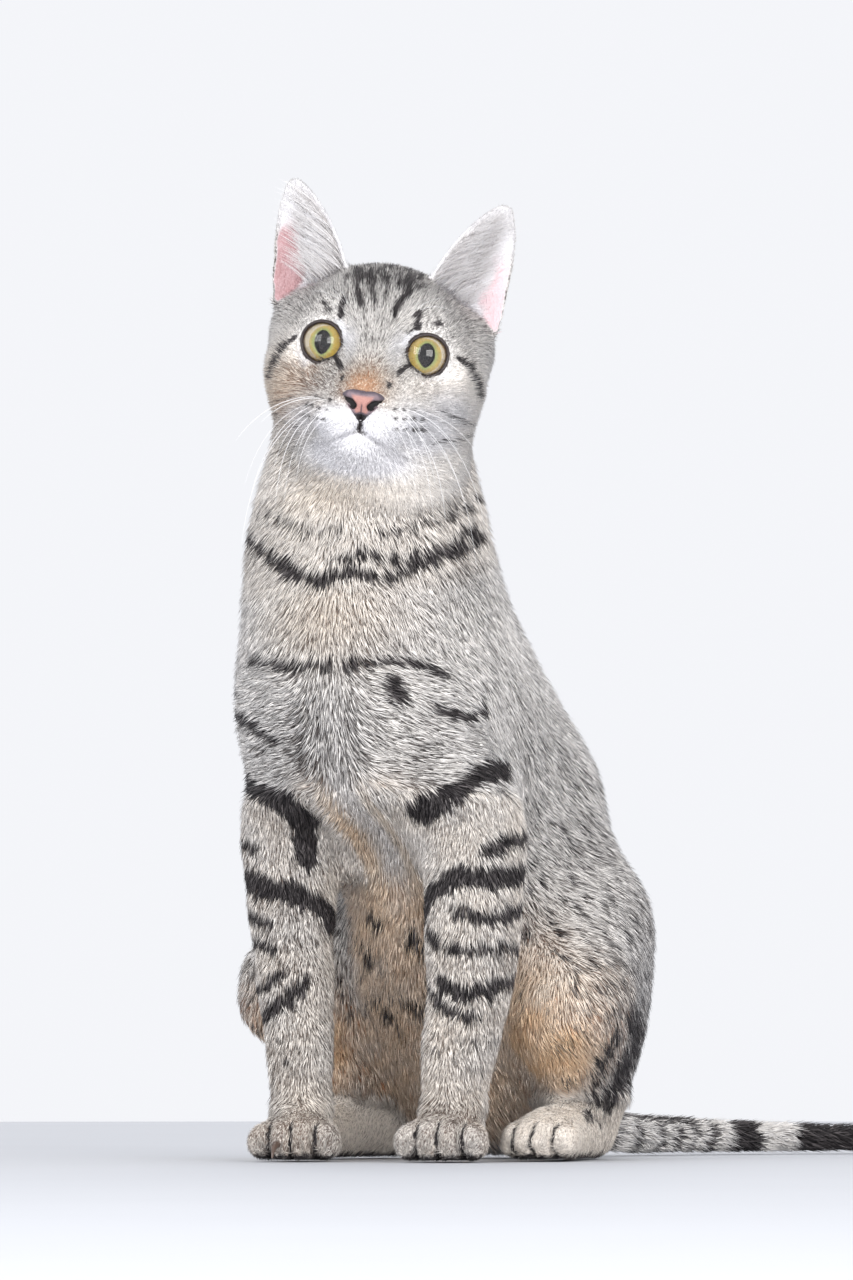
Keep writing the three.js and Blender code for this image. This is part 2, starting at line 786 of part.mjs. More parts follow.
// ---------------------------------------------------------------- the model
const FINISH = {
  coat: { color: 0x9a8f80, roughness: 0.9, metalness: 0 },
  ear_skin: { color: 0xc9b3a6, roughness: 0.8, metalness: 0 },
  eye: { color: 0xb3a144, roughness: 0.1, metalness: 0 },
  nose_leather: { color: 0xb5776a, roughness: 0.5, metalness: 0 },
  claw_horn: { color: 0x6b5a50, roughness: 0.35, metalness: 0 },
};
const finishOf = (name) => {
  if (name.startsWith("ear")) return FINISH.ear_skin;
  if (name.startsWith("eye")) return FINISH.eye;
  if (name === "nose") return FINISH.nose_leather;
  return name === "claw" ? FINISH.claw_horn : FINISH.coat;
};

// The cuts leave some corners a hair's breadth apart: they become one corner.
function cleaned(solid) {
  const { vertProperties, triVerts } = solid.getMesh();
  const whole = { positions: [...vertProperties], index: [...triVerts] };
  const merged = mergeVertices(geometryOf(whole), 4e-3);
  const corners = merged.index.array;
  const kept = [];
  for (let i = 0; i < corners.length; i += 3) {
    const [a, b, c] = corners.slice(i, i + 3);
    if (a !== b && b !== c && c !== a) kept.push(a, b, c);
  }
  return merged.setIndex(kept);
}

const cat = new THREE.Group();
for (const [name, solid] of Object.entries(solids)) {
  const geometry = cleaned(solid);
  const mesh = new THREE.Mesh(
    geometry,
    new THREE.MeshStandardMaterial(finishOf(name)),
  );
  mesh.name = name;
  cat.add(mesh);
}

// The origin is on the floor at the middle of the model's box.
const size = new THREE.Box3().setFromObject(cat, true);
const middle = size.getCenter(new THREE.Vector3());
cat.position.set(-middle.x, -middle.y, 0);

export default cat;
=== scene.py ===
# %% [markdown]
# # A seated tabby cat, life size
# This lesson dresses a finished set of plain solids: the parts of a young short-haired cat that sits upright.
# The solids are never moved or changed. Each step builds one living surface over them: skin, eyes, nose,
# coat and whiskers. Lengths are in metres once they reach Blender. The shaping itself is written in
# millimetres of the cat's own frame, because an eye of 21 is easier to picture than one of 0.021.

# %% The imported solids
import math

import bpy
import numpy as np
from mathutils import Matrix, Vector
from mathutils.bvhtree import BVHTree
from mathutils.kdtree import KDTree


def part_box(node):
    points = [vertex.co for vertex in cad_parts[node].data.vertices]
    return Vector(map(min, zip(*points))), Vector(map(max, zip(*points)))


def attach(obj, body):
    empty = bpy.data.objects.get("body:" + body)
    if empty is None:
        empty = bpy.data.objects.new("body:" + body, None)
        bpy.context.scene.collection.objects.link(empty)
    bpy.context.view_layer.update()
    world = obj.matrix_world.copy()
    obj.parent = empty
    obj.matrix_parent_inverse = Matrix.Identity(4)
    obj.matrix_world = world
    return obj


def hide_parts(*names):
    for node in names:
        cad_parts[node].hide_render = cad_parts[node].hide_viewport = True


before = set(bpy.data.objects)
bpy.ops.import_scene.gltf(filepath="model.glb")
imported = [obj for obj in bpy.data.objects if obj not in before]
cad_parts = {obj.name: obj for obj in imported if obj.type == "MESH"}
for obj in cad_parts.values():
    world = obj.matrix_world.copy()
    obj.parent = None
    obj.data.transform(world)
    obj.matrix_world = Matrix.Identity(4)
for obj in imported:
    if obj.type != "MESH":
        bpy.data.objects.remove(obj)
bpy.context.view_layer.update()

# %% [markdown]
# ## The frames that everything is measured in
# A cat's markings and folds make sense in the frame of the part that they are on. The head is turned,
# tilted and rolled on the body, so it gets a frame of its own: x to the cat's left, y to the back of the
# head and z up, with its zero midway between the eyes. Both eyes are solids, so their boxes give that
# point and the line through them, and only the nod of the head is stated.

# %% The cat's frame and the head's frame
MM = 0.001
HEAD_NOD = math.radians(5)
EYES_IN_CAT = np.array([9.8, -9.5, 307.8])  # midway between the eyes, from the cat's zero on the floor


def middle_of(node):
    low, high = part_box(node)
    return (np.array(low) + np.array(high)) / 2


def unit(v):
    v = np.asarray(v, float)
    return v / np.maximum(np.linalg.norm(v, axis=-1, keepdims=True), 1e-12)


EYE_MIDDLE = (middle_of("eye_left") + middle_of("eye_right")) / 2
CAT_ZERO = EYE_MIDDLE - EYES_IN_CAT * MM
ACROSS = unit(middle_of("eye_left") - middle_of("eye_right"))
LEVEL_BACK = unit(np.cross((0, 0, 1), ACROSS))
LEVEL_UP = np.cross(ACROSS, LEVEL_BACK)
BACK = LEVEL_BACK * math.cos(HEAD_NOD) + LEVEL_UP * math.sin(HEAD_NOD)
UP = LEVEL_UP * math.cos(HEAD_NOD) - LEVEL_BACK * math.sin(HEAD_NOD)
HEAD_AXES = np.array([ACROSS, BACK, UP])


def to_cat(points):
    """From metres in the model's frame to millimetres in the cat's."""
    return (np.asarray(points, float) - CAT_ZERO) / MM


def from_cat(points):
    return np.asarray(points, float) * MM + CAT_ZERO


def to_head(points):
    """From millimetres in the cat's frame to the head's."""
    return (np.asarray(points, float) - EYES_IN_CAT) @ HEAD_AXES.T


def from_head(points):
    return np.asarray(points, float) @ HEAD_AXES + EYES_IN_CAT


def smooth(low, high, value):
    """0 below low and 1 above high, with a soft step between them."""
    t = np.clip((np.asarray(value, float) - low) / (high - low), 0, 1)
    return t * t * (3 - 2 * t)


print("cat's zero:", CAT_ZERO.round(4), "nose from the eyes:", to_head(to_cat(middle_of("nose"))).round(1))

# %% [markdown]
# ## Camera
# The view is level and a little left of the way the cat faces, from low down, as a person kneeling with a
# long lens would have it. A long lens from 2.5 metres keeps the muzzle from looking big.

# %% Camera
VIEW_TURN = math.radians(30)  # from straight ahead of the body towards its left
VIEW_RIGHT = np.array([math.cos(VIEW_TURN), math.sin(VIEW_TURN), 0])
VIEW_AHEAD = np.array([-math.sin(VIEW_TURN), math.cos(VIEW_TURN), 0])
CAMERA_AT = from_cat(23 * VIEW_RIGHT - 2500 * VIEW_AHEAD + np.array([0, 0, 35]))
CAMERA_RISE = math.atan2(163, 2500)
FIELD_OF_VIEW = math.radians(11.11)


def add_camera():
    bpy.ops.object.camera_add(location=CAMERA_AT, rotation=(math.pi / 2 + CAMERA_RISE, 0, VIEW_TURN))
    camera = bpy.context.object
    camera.data.sensor_fit = "VERTICAL"
    camera.data.angle = FIELD_OF_VIEW
    camera.data.clip_end = 20
    bpy.context.scene.camera = camera
    return camera


print("camera at", [round(v, 3) for v in add_camera().location])

# %% [markdown]
# ## Small tools for meshes
# Numpy moves whole meshes at once: a mesh is a table of points and a table of faces. Neighbours are read
# from the edges, which is all that smoothing needs.

# %% Mesh tools
def deselect():
    bpy.ops.object.select_all(action="DESELECT")


def choose(piece):
    deselect()
    piece.select_set(True)
    bpy.context.view_layer.objects.active = piece


def points_of(mesh):
    flat = np.empty(len(mesh.vertices) * 3, np.float32)
    mesh.vertices.foreach_get("co", flat)
    return flat.reshape(-1, 3).astype(float)


def triangles_of(mesh):
    mesh.calc_loop_triangles()
    flat = np.empty(len(mesh.loop_triangles) * 3, np.int32)
    mesh.loop_triangles.foreach_get("vertices", flat)
    return flat.reshape(-1, 3)


def edges_of(mesh):
    flat = np.empty(len(mesh.edges) * 2, np.int32)
    mesh.edges.foreach_get("vertices", flat)
    return flat.reshape(-1, 2)


def set_points(mesh, points):
    mesh.vertices.foreach_set("co", np.asarray(points, np.float32).ravel())
    mesh.update()


def new_piece(name, points, faces):
    """A mesh object from points in millimetres of the cat's frame and its faces, all of one size."""
    faces = np.asarray(faces, np.int32)
    mesh = bpy.data.meshes.new(name)
    mesh.vertices.add(len(points))
    mesh.loops.add(faces.size)
    mesh.polygons.add(len(faces))
    mesh.vertices.foreach_set("co", from_cat(points).astype(np.float32).ravel())
    mesh.loops.foreach_set("vertex_index", faces.ravel())
    mesh.polygons.foreach_set("loop_start", np.arange(0, faces.size, faces.shape[1], dtype=np.int32))
    mesh.update(calc_edges=True)
    piece = bpy.data.objects.new(name, mesh)
    bpy.context.scene.collection.objects.link(piece)
    return piece


def primitive(name, add, **settings):
    """One of Blender's ready shapes, under that name."""
    deselect()
    add(**settings)
    bpy.context.object.name = name
    return bpy.context.object


def edit_all(piece, step, **settings):
    """Runs one of Blender's editing steps on the whole of a piece."""
    choose(piece)
    bpy.ops.object.mode_set(mode="EDIT")
    bpy.ops.mesh.select_all(action="SELECT")
    step(**settings)
    bpy.ops.object.mode_set(mode="OBJECT")


def dress(piece, material):
    """Smooth shading and one finish for a whole piece."""
    piece.data.polygons.foreach_set("use_smooth", np.ones(len(piece.data.polygons), bool))
    piece.data.materials.clear()
    piece.data.materials.append(material)


def store(mesh, name, values):
    """Three numbers for each point, under that name."""
    held = mesh.attributes.new(name, "FLOAT_COLOR", "POINT")
    held.data.foreach_set("color", np.column_stack([values, np.ones(len(values))]).astype(np.float32).ravel())


def add_map(mesh, places):
    """The texture map of a piece of the coat, from a place for each corner of its faces."""
    held = mesh.uv_layers.new(name="OFBake")
    held.data.foreach_set("uv", places.astype(np.float32).ravel())


def apply(piece, kind, **settings):
    """Adds a modifier of that kind with those settings and applies it."""
    choose(piece)
    modifier = piece.modifiers.new(kind.lower(), kind)
    for key, value in settings.items():
        setattr(modifier, key, value)
    bpy.ops.object.modifier_apply(modifier=modifier.name)


class Web:
    """The neighbours of each point of a mesh, for smoothing anything that its points carry."""

    def __init__(self, mesh):
        edges = edges_of(mesh)
        self.ends = np.concatenate([edges, edges[:, ::-1]])
        self.count = np.maximum(np.bincount(self.ends[:, 0], minlength=len(mesh.vertices)), 1)

    def mean(self, values):
        """Each point's average over its neighbours."""
        columns = values.reshape(len(values), -1)
        sums = [
            np.bincount(self.ends[:, 0], columns[self.ends[:, 1], c], len(values))
            for c in range(columns.shape[1])
        ]
        return (np.stack(sums, 1) / self.count[:, None]).reshape(values.shape)

    def smoothed(self, values, rounds, amount=0.6):
        """amount is one number, or a number for each point."""
        amount = np.asarray(amount, float)
        share = amount[:, None] if amount.ndim and values.ndim > 1 else amount
        for _ in range(rounds):
            values = values + share * (self.mean(values) - values)
        return values


def normals_of(points, triangles):
    """Outward unit normals at the points."""
    a, b, c = (points[triangles[:, k]] for k in range(3))
    flat = np.cross(b - a, c - a)
    total = np.zeros_like(points)
    for k in range(3):
        for axis in range(3):
            total[:, axis] += np.bincount(triangles[:, k], flat[:, axis], len(points))
    return unit(total)


# %% [markdown]
# ## The skin
# On the cat one skin covers everything, so a seam between two solids may never show. Copies of the solids
# of flesh are joined, and a voxel remesh melts them into one closed surface of small even squares. That
# also closes the hairline gaps that the solids keep between them. Its facets are then smoothed away,
# strongly on the broad trunk, lightly on the small forms of muzzle, toes and ears, and the surface is
# sunk by the depth of the coat, because the solids' outline is that of the tips of the hair.
#
# Each part therefore has a few numbers of its own: how far its facets are smoothed, how deep its coat
# stands, and the look of its hair. Where two parts meet, the numbers flow into each other.

# %% What each part of the body is like
# smoothing and coat depth in mm, then the hair's length, width and lift in degrees, and hairs per square mm
PART_LOOK = {
    "head": dict(soften=2.6, depth=1.9, length=4.4, width=0.4, lift=22, density=4.8),
    "muzzle": dict(soften=1.6, depth=0.9, length=4.0, width=0.36, lift=16, density=4.8),
    "nose": dict(soften=1.0, depth=0.5, length=3.0, width=0.32, lift=11, density=5.6),
    "eye": dict(soften=1.4, depth=0.9, length=3.0, width=0.33, lift=14, density=4.8),
    "ear": dict(soften=1.3, depth=0.35, length=3.0, width=0.34, lift=13, density=3.2),
    "neck": dict(soften=6.5, depth=4.5, length=8.8, width=0.5, lift=22, density=2.4),
    "trunk": dict(soften=7.5, depth=4.0, length=8.2, width=0.53, lift=21, density=2.0),
    "foreleg": dict(soften=4.2, depth=2.3, length=7.0, width=0.47, lift=18, density=2.5),
    "forepaw": dict(soften=1.5, depth=1.0, length=5.0, width=0.44, lift=14, density=3.8),
    "thigh": dict(soften=6.5, depth=3.6, length=8.0, width=0.52, lift=21, density=2.2),
    "hind_foot": dict(soften=2.4, depth=1.1, length=5.4, width=0.46, lift=15, density=3.4),
    "tail": dict(soften=3.0, depth=2.6, length=9.5, width=0.56, lift=17, density=1.9),
}
PARTS = list(PART_LOOK)
NOT_FLESH = ("claw",)


def are_on(found, names):
    """True where the parts found, given by number, are among the named ones."""
    return np.isin(found, [PARTS.index(name) for name in names])


def part_of(node):
    """The part whose look a node has: hind_foot_left has the look of hind_foot."""
    return max((part for part in PART_LOOK if node.startswith(part)), key=len)


# %% Join the solids and melt them together
SKIN_CELL = 0.001  # the remesh's squares, in metres
WELD = 1e-5  # points nearer than this are one, in metres
EAR_FATTER = 0.5  # in mm


def thick_ear(node):
    """A rounder and slightly fatter mesh of an ear, so that the remesh keeps its thin edge whole."""
    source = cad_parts[node].data
    ear = new_piece("ear_copy", to_cat(points_of(source)), triangles_of(source))
    edit_all(ear, bpy.ops.mesh.remove_doubles, threshold=WELD)
    flat, square = math.radians(50), math.radians(60)
    edit_all(ear, bpy.ops.mesh.tris_convert_to_quads, face_threshold=flat, shape_threshold=square)
    apply(ear, "SUBSURF", levels=2, render_levels=2)
    mesh = ear.data
    corners = triangles_of(mesh)
    points = to_cat(points_of(mesh))
    set_points(mesh, from_cat(points + normals_of(points, corners) * EAR_FATTER))
    bpy.data.objects.remove(ear)
    return mesh


def joined_flesh():
    """Every solid of flesh in one mesh, and the part that each of its triangles belongs to."""
    points, triangles, part_index, start = [], [], [], 0
    for node in sorted(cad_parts):
        if node in NOT_FLESH:
            continue
        mesh = thick_ear(node) if part_of(node) == "ear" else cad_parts[node].data
        corners = triangles_of(mesh)
        points.append(points_of(mesh))
        triangles.append(corners + start)
        part_index += [PARTS.index(part_of(node))] * len(corners)
        start += len(mesh.vertices)
    return np.concatenate(points), np.concatenate(triangles), np.array(part_index)


FLESH_POINTS, FLESH_TRIANGLES, FLESH_PART = joined_flesh()
skin = new_piece("skin", to_cat(FLESH_POINTS), FLESH_TRIANGLES)
edit_all(skin, bpy.ops.mesh.remove_doubles, threshold=WELD)
apply(skin, "REMESH", mode="VOXEL", voxel_size=SKIN_CELL)
print("skin after the remesh:", len(skin.data.polygons), "faces")

# %% Which part each point of the skin is on
flesh_tree = BVHTree.FromPolygons(FLESH_POINTS.tolist(), FLESH_TRIANGLES.tolist())
points = points_of(skin.data)
part_at = np.array([FLESH_PART[flesh_tree.find_nearest(p)[2]] for p in points])
web = Web(skin.data)


def look(key, rounds=14):
    """A number of PART_LOOK at each point of the skin, flowing softly from part to part."""
    values = np.array([part[key] for part in PART_LOOK.values()], float)
    return web.smoothed(values[part_at], rounds)


print("parts found on the skin:", len(np.unique(part_at)), "of", len(PART_LOOK))

# %% Smooth the facets away
MOST_ROUNDS = 150
ROUND_STRENGTH = 0.8
SPREAD_PER_ROUND = ROUND_STRENGTH * (SKIN_CELL / MM) ** 2 / 2  # what a round adds to the blur, in square mm
rounds_wanted = look("soften") ** 2 / SPREAD_PER_ROUND
for done in range(MOST_ROUNDS):
    share = ROUND_STRENGTH * np.clip(rounds_wanted - done, 0, 1)
    points = web.smoothed(points, 1, share)
print("rounds of smoothing wanted, least and most:", rounds_wanted.min().round(), rounds_wanted.max().round())

# %% Sink it by the depth of the coat
LOWEST_SKIN = 0.3  # over the floor, in mm
triangles = triangles_of(skin.data)
points = to_cat(points)
points = points - normals_of(points, triangles) * look("depth", 30)[:, None]
points = web.smoothed(points, 2, 0.4)
points[:, 2] = np.maximum(points[:, 2], LOWEST_SKIN)
set_points(skin.data, from_cat(points))
print("lowest point of the skin:", points[:, 2].min().round(2), "mm")

# %% [markdown]
# ## The face
# The remesh gives the masses of the face and no more. What makes it a cat's is folded into the skin here:
# sockets that let the eyeballs show and lids that hug them, the groove under the nose, the line of
# the mouth with its soft overhanging lips, and the chin below. Each fold is a small push along the
# surface, measured in the head's frame.

# %% Eyes and the shape of their opening
EYE_RADIUS = 10.5
EYE_TURN = math.radians(12)  # how far each eye's opening faces outwards
LID_ANGLE = math.radians(47)  # half the opening, seen from the eye's centre
INNER_CORNER, OUTER_CORNER = math.radians(212), math.radians(20)  # from straight outwards, upwards and round
NEAR_EYE = 9  # what lies further than this outside an eyeball is no part of the eye, in mm
SIDES = {"left": 1, "right": -1}
EYE_AT = {side: to_head(to_cat(middle_of(f"eye_{side}"))) for side in SIDES}


def eye_axes(sign):
    """Outwards, forwards and up as an eye sees them, in the head's frame."""
    outward = np.array([sign * math.cos(EYE_TURN), math.sin(EYE_TURN), 0])
    forward = np.array([sign * math.sin(EYE_TURN), -math.cos(EYE_TURN), 0])
    return np.array([outward, forward, [0, 0, 1]])


def near_turn(around, turn, width):
    """1 in one direction around an eye, fading away on both sides of it."""
    past = ((around - turn) + math.pi) % math.tau - math.pi
    return np.exp(-((past / width) ** 2))


def lid_angle(around):
    """The opening's half angle in each direction around the eye: drawn out a little to both corners."""
    inner, outer = near_turn(around, INNER_CORNER, 0.36), near_turn(around, OUTER_CORNER, 0.5)
    return LID_ANGLE * (1 + 0.17 * inner + 0.05 * outer)


def in_eye(side, radius, height, around):
    """Rings around an eye's line of sight, in the head's frame: radius and height forward of its centre."""
    local = np.stack([radius * np.cos(around), height, radius * np.sin(around)], 1)
    return EYE_AT[side] + local @ eye_axes(SIDES[side])


def eye_view(head_points, side):
    """Distance from an eye's centre, angle off its line of sight, and direction around it."""
    outward, forward, up = ((head_points - EYE_AT[side]) @ eye_axes(SIDES[side]).T).T
    distance = np.sqrt(outward**2 + forward**2 + up**2)
    off = np.arccos(np.clip(forward / np.maximum(distance, 1e-6), -1, 1))
    return distance, off, np.arctan2(up, outward) % math.tau


# %% Fold the sockets and the lids
LID_THICK = 1.05
SOCKET_FLOOR = 1.4  # the skin behind an eye lies this far in front of the eye's centre
LID_SPREAD = math.radians(5), math.radians(24)  # where the lid lets go of the eyeball
LID_REACH = 3, 8  # and how far from it the skin still follows, in mm


def with_sockets(head_points):
    for side in SIDES:
        distance, off, around = eye_view(head_points, side)
        opening = lid_angle(around)
        lid = EYE_RADIUS + LID_THICK * smooth(0, 0.1, off - opening)
        hold = smooth(*LID_SPREAD[::-1], off - opening) * smooth(*LID_REACH[::-1], np.abs(distance - lid))
        floor = SOCKET_FLOOR / np.maximum(np.cos(off), 0.3)
        wanted = np.where(off < opening, floor, distance + (lid - distance) * hold)
        near = (off < math.radians(100)) & (distance < EYE_RADIUS + NEAR_EYE)
        scale = np.where(near, wanted / np.maximum(distance, 1e-6), 1)
        head_points = EYE_AT[side] + (head_points - EYE_AT[side]) * scale[:, None]
    return head_points


def from_lids(head_points):
    """For each point the distance in mm to the nearer eye's lid edge, and the direction around that eye."""
    turns = np.arange(0, math.tau, math.tau / 96)
    found, direction = np.full(len(head_points), 99.0), np.zeros(len(head_points))
    for side in SIDES:
        off, out = lid_angle(turns), EYE_RADIUS + 0.6
        ring = in_eye(side, out * np.sin(off), out * np.cos(off), turns)
        near = np.flatnonzero(np.linalg.norm(head_points - EYE_AT[side], axis=1) < EYE_RADIUS + 14)
        apart = np.linalg.norm(head_points[near, None] - ring[None], axis=2)
        least = apart.min(1)
        closer = least < found[near]
        found[near[closer]] = least[closer]
        direction[near[closer]] = turns[apart.argmin(1)][closer]
        distance, off, _ = eye_view(head_points[near], side)
        inside = (distance < EYE_RADIUS) & (off < math.radians(62))
        found[near[inside]] = 0
    return found, direction


def beside_lids(head_points):
    """1 on the skin just outside the lids, for a last light smoothing."""
    found = np.zeros(len(head_points))
    for side in SIDES:
        distance, off, around = eye_view(head_points, side)
        past = off - lid_angle(around)
        ring = smooth(0.04, 0.12, past) * smooth(0.75, 0.5, past) * (distance < EYE_RADIUS + NEAR_EYE)
        found = np.maximum(found, ring)
    return found


# %% Groove, mouth and chin
MOUTH = [(0, -31), (3.2, -33.4), (6.6, -35.4), (10.2, -37), (13.6, -38.4), (16.5, -39.6)]
MOUTH_ENDS = 6.5, 11  # the crease grows shallow between these distances from the middle
GROOVE_TOP = -26
GROOVE_DEPTH, GROOVE_WIDTH = 1.1, 0.75
CREASE_DEPTH, CREASE_WIDTH = 1.25, 0.85


def from_line(x, z, line):
    """Distance from a line of (x, z) points, with a minus sign below it."""
    best = np.full(len(x), 1e9)
    sign = np.ones(len(x))
    for (x0, z0), (x1, z1) in zip(line, line[1:]):
        long_squared = (x1 - x0) ** 2 + (z1 - z0) ** 2
        along = np.clip(((x - x0) * (x1 - x0) + (z - z0) * (z1 - z0)) / long_squared, 0, 1)
        dx, dz = x - x0 - along * (x1 - x0), z - z0 - along * (z1 - z0)
        distance = np.hypot(dx, dz)
        closer = distance < best
        best = np.where(closer, distance, best)
        sign = np.where(closer, np.where(dz >= 0, 1, -1), sign)
    return best * sign


def with_mouth(head_points, normals):
    x, y, z = head_points.T
    front = smooth(-8, -15, y) * smooth(-60, -46, z)
    line = from_line(np.abs(x), z, MOUTH)
    closing = smooth(*MOUTH_ENDS[::-1], np.abs(x))
    crease = -CREASE_DEPTH * np.exp(-((line / CREASE_WIDTH) ** 2)) * (0.15 + 0.85 * closing)
    lip = 0.7 * np.exp(-(((line - 2.6) / 1.9) ** 2)) * smooth(0.4, 2.4, np.abs(x))
    under = -0.45 * np.exp(-(((line + 2.4) / 1.8) ** 2))
    groove = -GROOVE_DEPTH * np.exp(-((x / GROOVE_WIDTH) ** 2))
    groove = groove * smooth(GROOVE_TOP + 1.5, GROOVE_TOP - 1, z) * smooth(-32, -30.6, z)
    return head_points + normals * ((crease + lip + under + groove) * front)[:, None]


NOSE_OUTLINE = [  # seen from the front, in the head's frame
    (-7.6, -18.6), (0, -17.2), (7.6, -18.6), (4.8, -22.6), (0.9, -26.6), (-0.9, -26.6), (-4.8, -22.6),
]
NOSE_HOLLOW = 2.6  # how far the skin steps back behind the nose leather


def in_outline(u, v, outline):
    """1 inside a closed outline of (u, v) points."""
    inside = np.zeros(len(u), bool)
    for (u0, v0), (u1, v1) in zip(outline, outline[1:] + outline[:1]):
        crosses = (v0 > v) != (v1 > v)
        inside ^= crosses & (u < (u1 - u0) * (v - v0) / (v1 - v0 + 1e-12) + u0)
    return inside.astype(float)


face_points = to_head(points)
face_points = with_sockets(face_points)
face_points = web.smoothed(face_points, 8, 0.6 * beside_lids(face_points))
face_points = with_mouth(face_points, normals_of(face_points, triangles))
FACE_TREE = BVHTree.FromPolygons(face_points.tolist(), triangles.tolist())  # before the nose is let in
let_in = in_outline(face_points[:, 0], face_points[:, 2], NOSE_OUTLINE) * (face_points[:, 1] < -18)
face_points[:, 1] += NOSE_HOLLOW * web.smoothed(let_in, 1)
points = from_head(face_points)
set_points(skin.data, from_cat(points))
print("mouth's width across its ends:", 2 * MOUTH[-1][0], "mm")

# %% [markdown]
# ## The toes
# A cat stands on four toes to a paw. The solids give their rounded ends, and the narrow clefts between them
# are pressed in here, in the frame of each paw: forward, across and up. They fade out over the knuckles.

# %% Part the toes
PAWS = [  # middle of the pad, heading in degrees towards the cat's left, and the space between two toes
    dict(at=(36, 3), heading=17, spread=8.8),
    dict(at=(-25, -5), heading=21, spread=8.8),
    dict(at=(57, 44), heading=9, spread=8.0),
    dict(at=(-49, 52), heading=-3, spread=8.0),
]
CLEFT_DEPTH = 2.6
CLEFT_WIDTH = 1.25
PAW_REACH = 38


def paw_view(points, at, heading):
    """Across to the cat's left and back, as a paw with that heading sees them."""
    turn = math.radians(heading)
    x, y = points[:, 0] - at[0], points[:, 1] - at[1]
    return x * math.cos(turn) + y * math.sin(turn), y * math.cos(turn) - x * math.sin(turn)


def cleft(points, width):
    """1 in the clefts between the toes, fading to 0 at that width and over the knuckles."""
    found = np.zeros(len(points))
    for paw in PAWS:
        across, back = paw_view(points, paw["at"], paw["heading"])
        here = (np.abs(across) < 2 * paw["spread"]) & (np.abs(back) < PAW_REACH) & (points[:, 2] < 24)
        fade = smooth(-11, -19, back) * smooth(18, 12, points[:, 2])
        for place in (-1, 0, 1):
            line = np.exp(-(((across - place * paw["spread"]) / width) ** 2))
            found = np.maximum(found, line * fade * here)
    return found


points = points - normals_of(points, triangles) * (CLEFT_DEPTH * cleft(points, CLEFT_WIDTH))[:, None]
points[:, 2] = np.maximum(points[:, 2], LOWEST_SKIN)
set_points(skin.data, from_cat(points))
print("points in the clefts between toes:", int((cleft(points, CLEFT_WIDTH) > 0.3).sum()))

# %% [markdown]
# ## The lie of the hair
# Hair never points just anywhere. On the face it runs out from the nose in every direction, on the neck and
# back it runs down and backwards, on the legs straight down, on the paws forwards, and on the tail to its
# tip. Each part gets such a direction by a short rule, the directions of neighbouring parts are blended,
# and what is left is laid flat on the skin. A slow sway then gathers the hair into locks.

# %% Soft random ripples
def ripple(at, length, seed, waves=7):
    """A smooth random height of about -1 to 1, with bumps that far apart."""
    draw = np.random.default_rng(seed)
    total = np.zeros(len(at))
    for _ in range(waves):
        direction = unit(draw.normal(size=3)) * math.tau / (length * draw.uniform(0.75, 1.5))
        total += np.sin(at @ direction + draw.uniform(0, math.tau))
    return total / math.sqrt(waves)


def blob(at, middle, size):
    """1 in the middle of a soft ellipsoid, fading to nothing at about twice its size."""
    return np.exp(-(((at - np.array(middle, float)) / np.array(size, float)) ** 2).sum(1))


def most(*masks):
    """The strongest of those masks at each point."""
    return np.maximum.reduce(masks)


def on(*names, rounds=16):
    """1 on the skin of the named parts, with soft edges."""
    return web.smoothed(are_on(part_at, names).astype(float), rounds)


normals = normals_of(points, triangles)
face_points = to_head(points)
face_normals = normals @ HEAD_AXES.T
print("one ripple's spread:", ripple(points, 12, 1).std().round(2))

# %% The ears' own measures
EAR_FOOT = np.array([26.5, 20, 7])  # of the left ear, in the head's frame
EAR_TIP = np.array([41.5, 24, 61.5])


def ear_view(head_points, side):
    """How far up an ear each point is, from 0 to 1, and the vector from it to the middle of the opening."""
    mirror = np.array([SIDES[side], 1, 1])
    foot, tip = EAR_FOOT * mirror, EAR_TIP * mirror
    up = np.clip((head_points - foot) @ (tip - foot) / ((tip - foot) @ (tip - foot)), -0.3, 1)
    return up, foot + up[:, None] * (tip - foot) - head_points


def inside_ear(head_points, head_normals):
    """1 on the hollow side of the ears."""
    found = np.zeros(len(head_points))
    for side, sign in SIDES.items():
        up, to_middle = ear_view(head_points, side)
        facing = (unit(to_middle) * head_normals).sum(1) * smooth(1.2, 3, np.linalg.norm(to_middle, axis=1))
        front = smooth(0.75, 0.2, head_normals[:, 1])
        here = (head_points[:, 0] * sign > 8) & (up > -0.05) & (up < 0.97)
        found = np.where(here, smooth(0.1, 0.5, facing) * front, found)
    return found


in_ear = inside_ear(face_points, face_normals) * on("ear", "head", rounds=3)
print("points inside the ears:", int((in_ear > 0.5).sum()))

# %% Directions part by part
NOSE_TIP = np.array([0, -38, -21])
TAIL_LINE = np.array([(0, 136), (1, 160), (4, 186), (11, 220), (26, 258), (49, 292), (78, 319), (104, 334)])


def face_lie():
    lie = unit(face_points - NOSE_TIP)
    behind = smooth(0, 40, face_points[:, 1])
    lie = lie * (1 - 0.7 * behind)[:, None] + np.array([0, 0.4, -1]) * behind[:, None]
    under = smooth(-34, -46, face_points[:, 2])
    return (lie + np.array([0, 0.8, -0.7]) * under[:, None]) @ HEAD_AXES


def ear_lie():
    lie = np.zeros_like(points)
    for side, sign in SIDES.items():
        here = face_points[:, 0] * sign > 0
        mirror = np.array([sign, 1, 1])
        lie[here] = unit((EAR_TIP - EAR_FOOT) * mirror)
    lie[:, 0] += 0.6 * in_ear * np.sign(face_points[:, 0])
    return lie @ HEAD_AXES


def sideways():
    """Below the breastbone's whorl the hair of each shoulder runs outwards from the middle."""
    x, y, z = points.T
    band = smooth(196, 184, z) * smooth(118, 140, z) * smooth(30, 0, y)
    return band * smooth(4, 16, np.abs(x - 3)) * np.sign(x - 3)


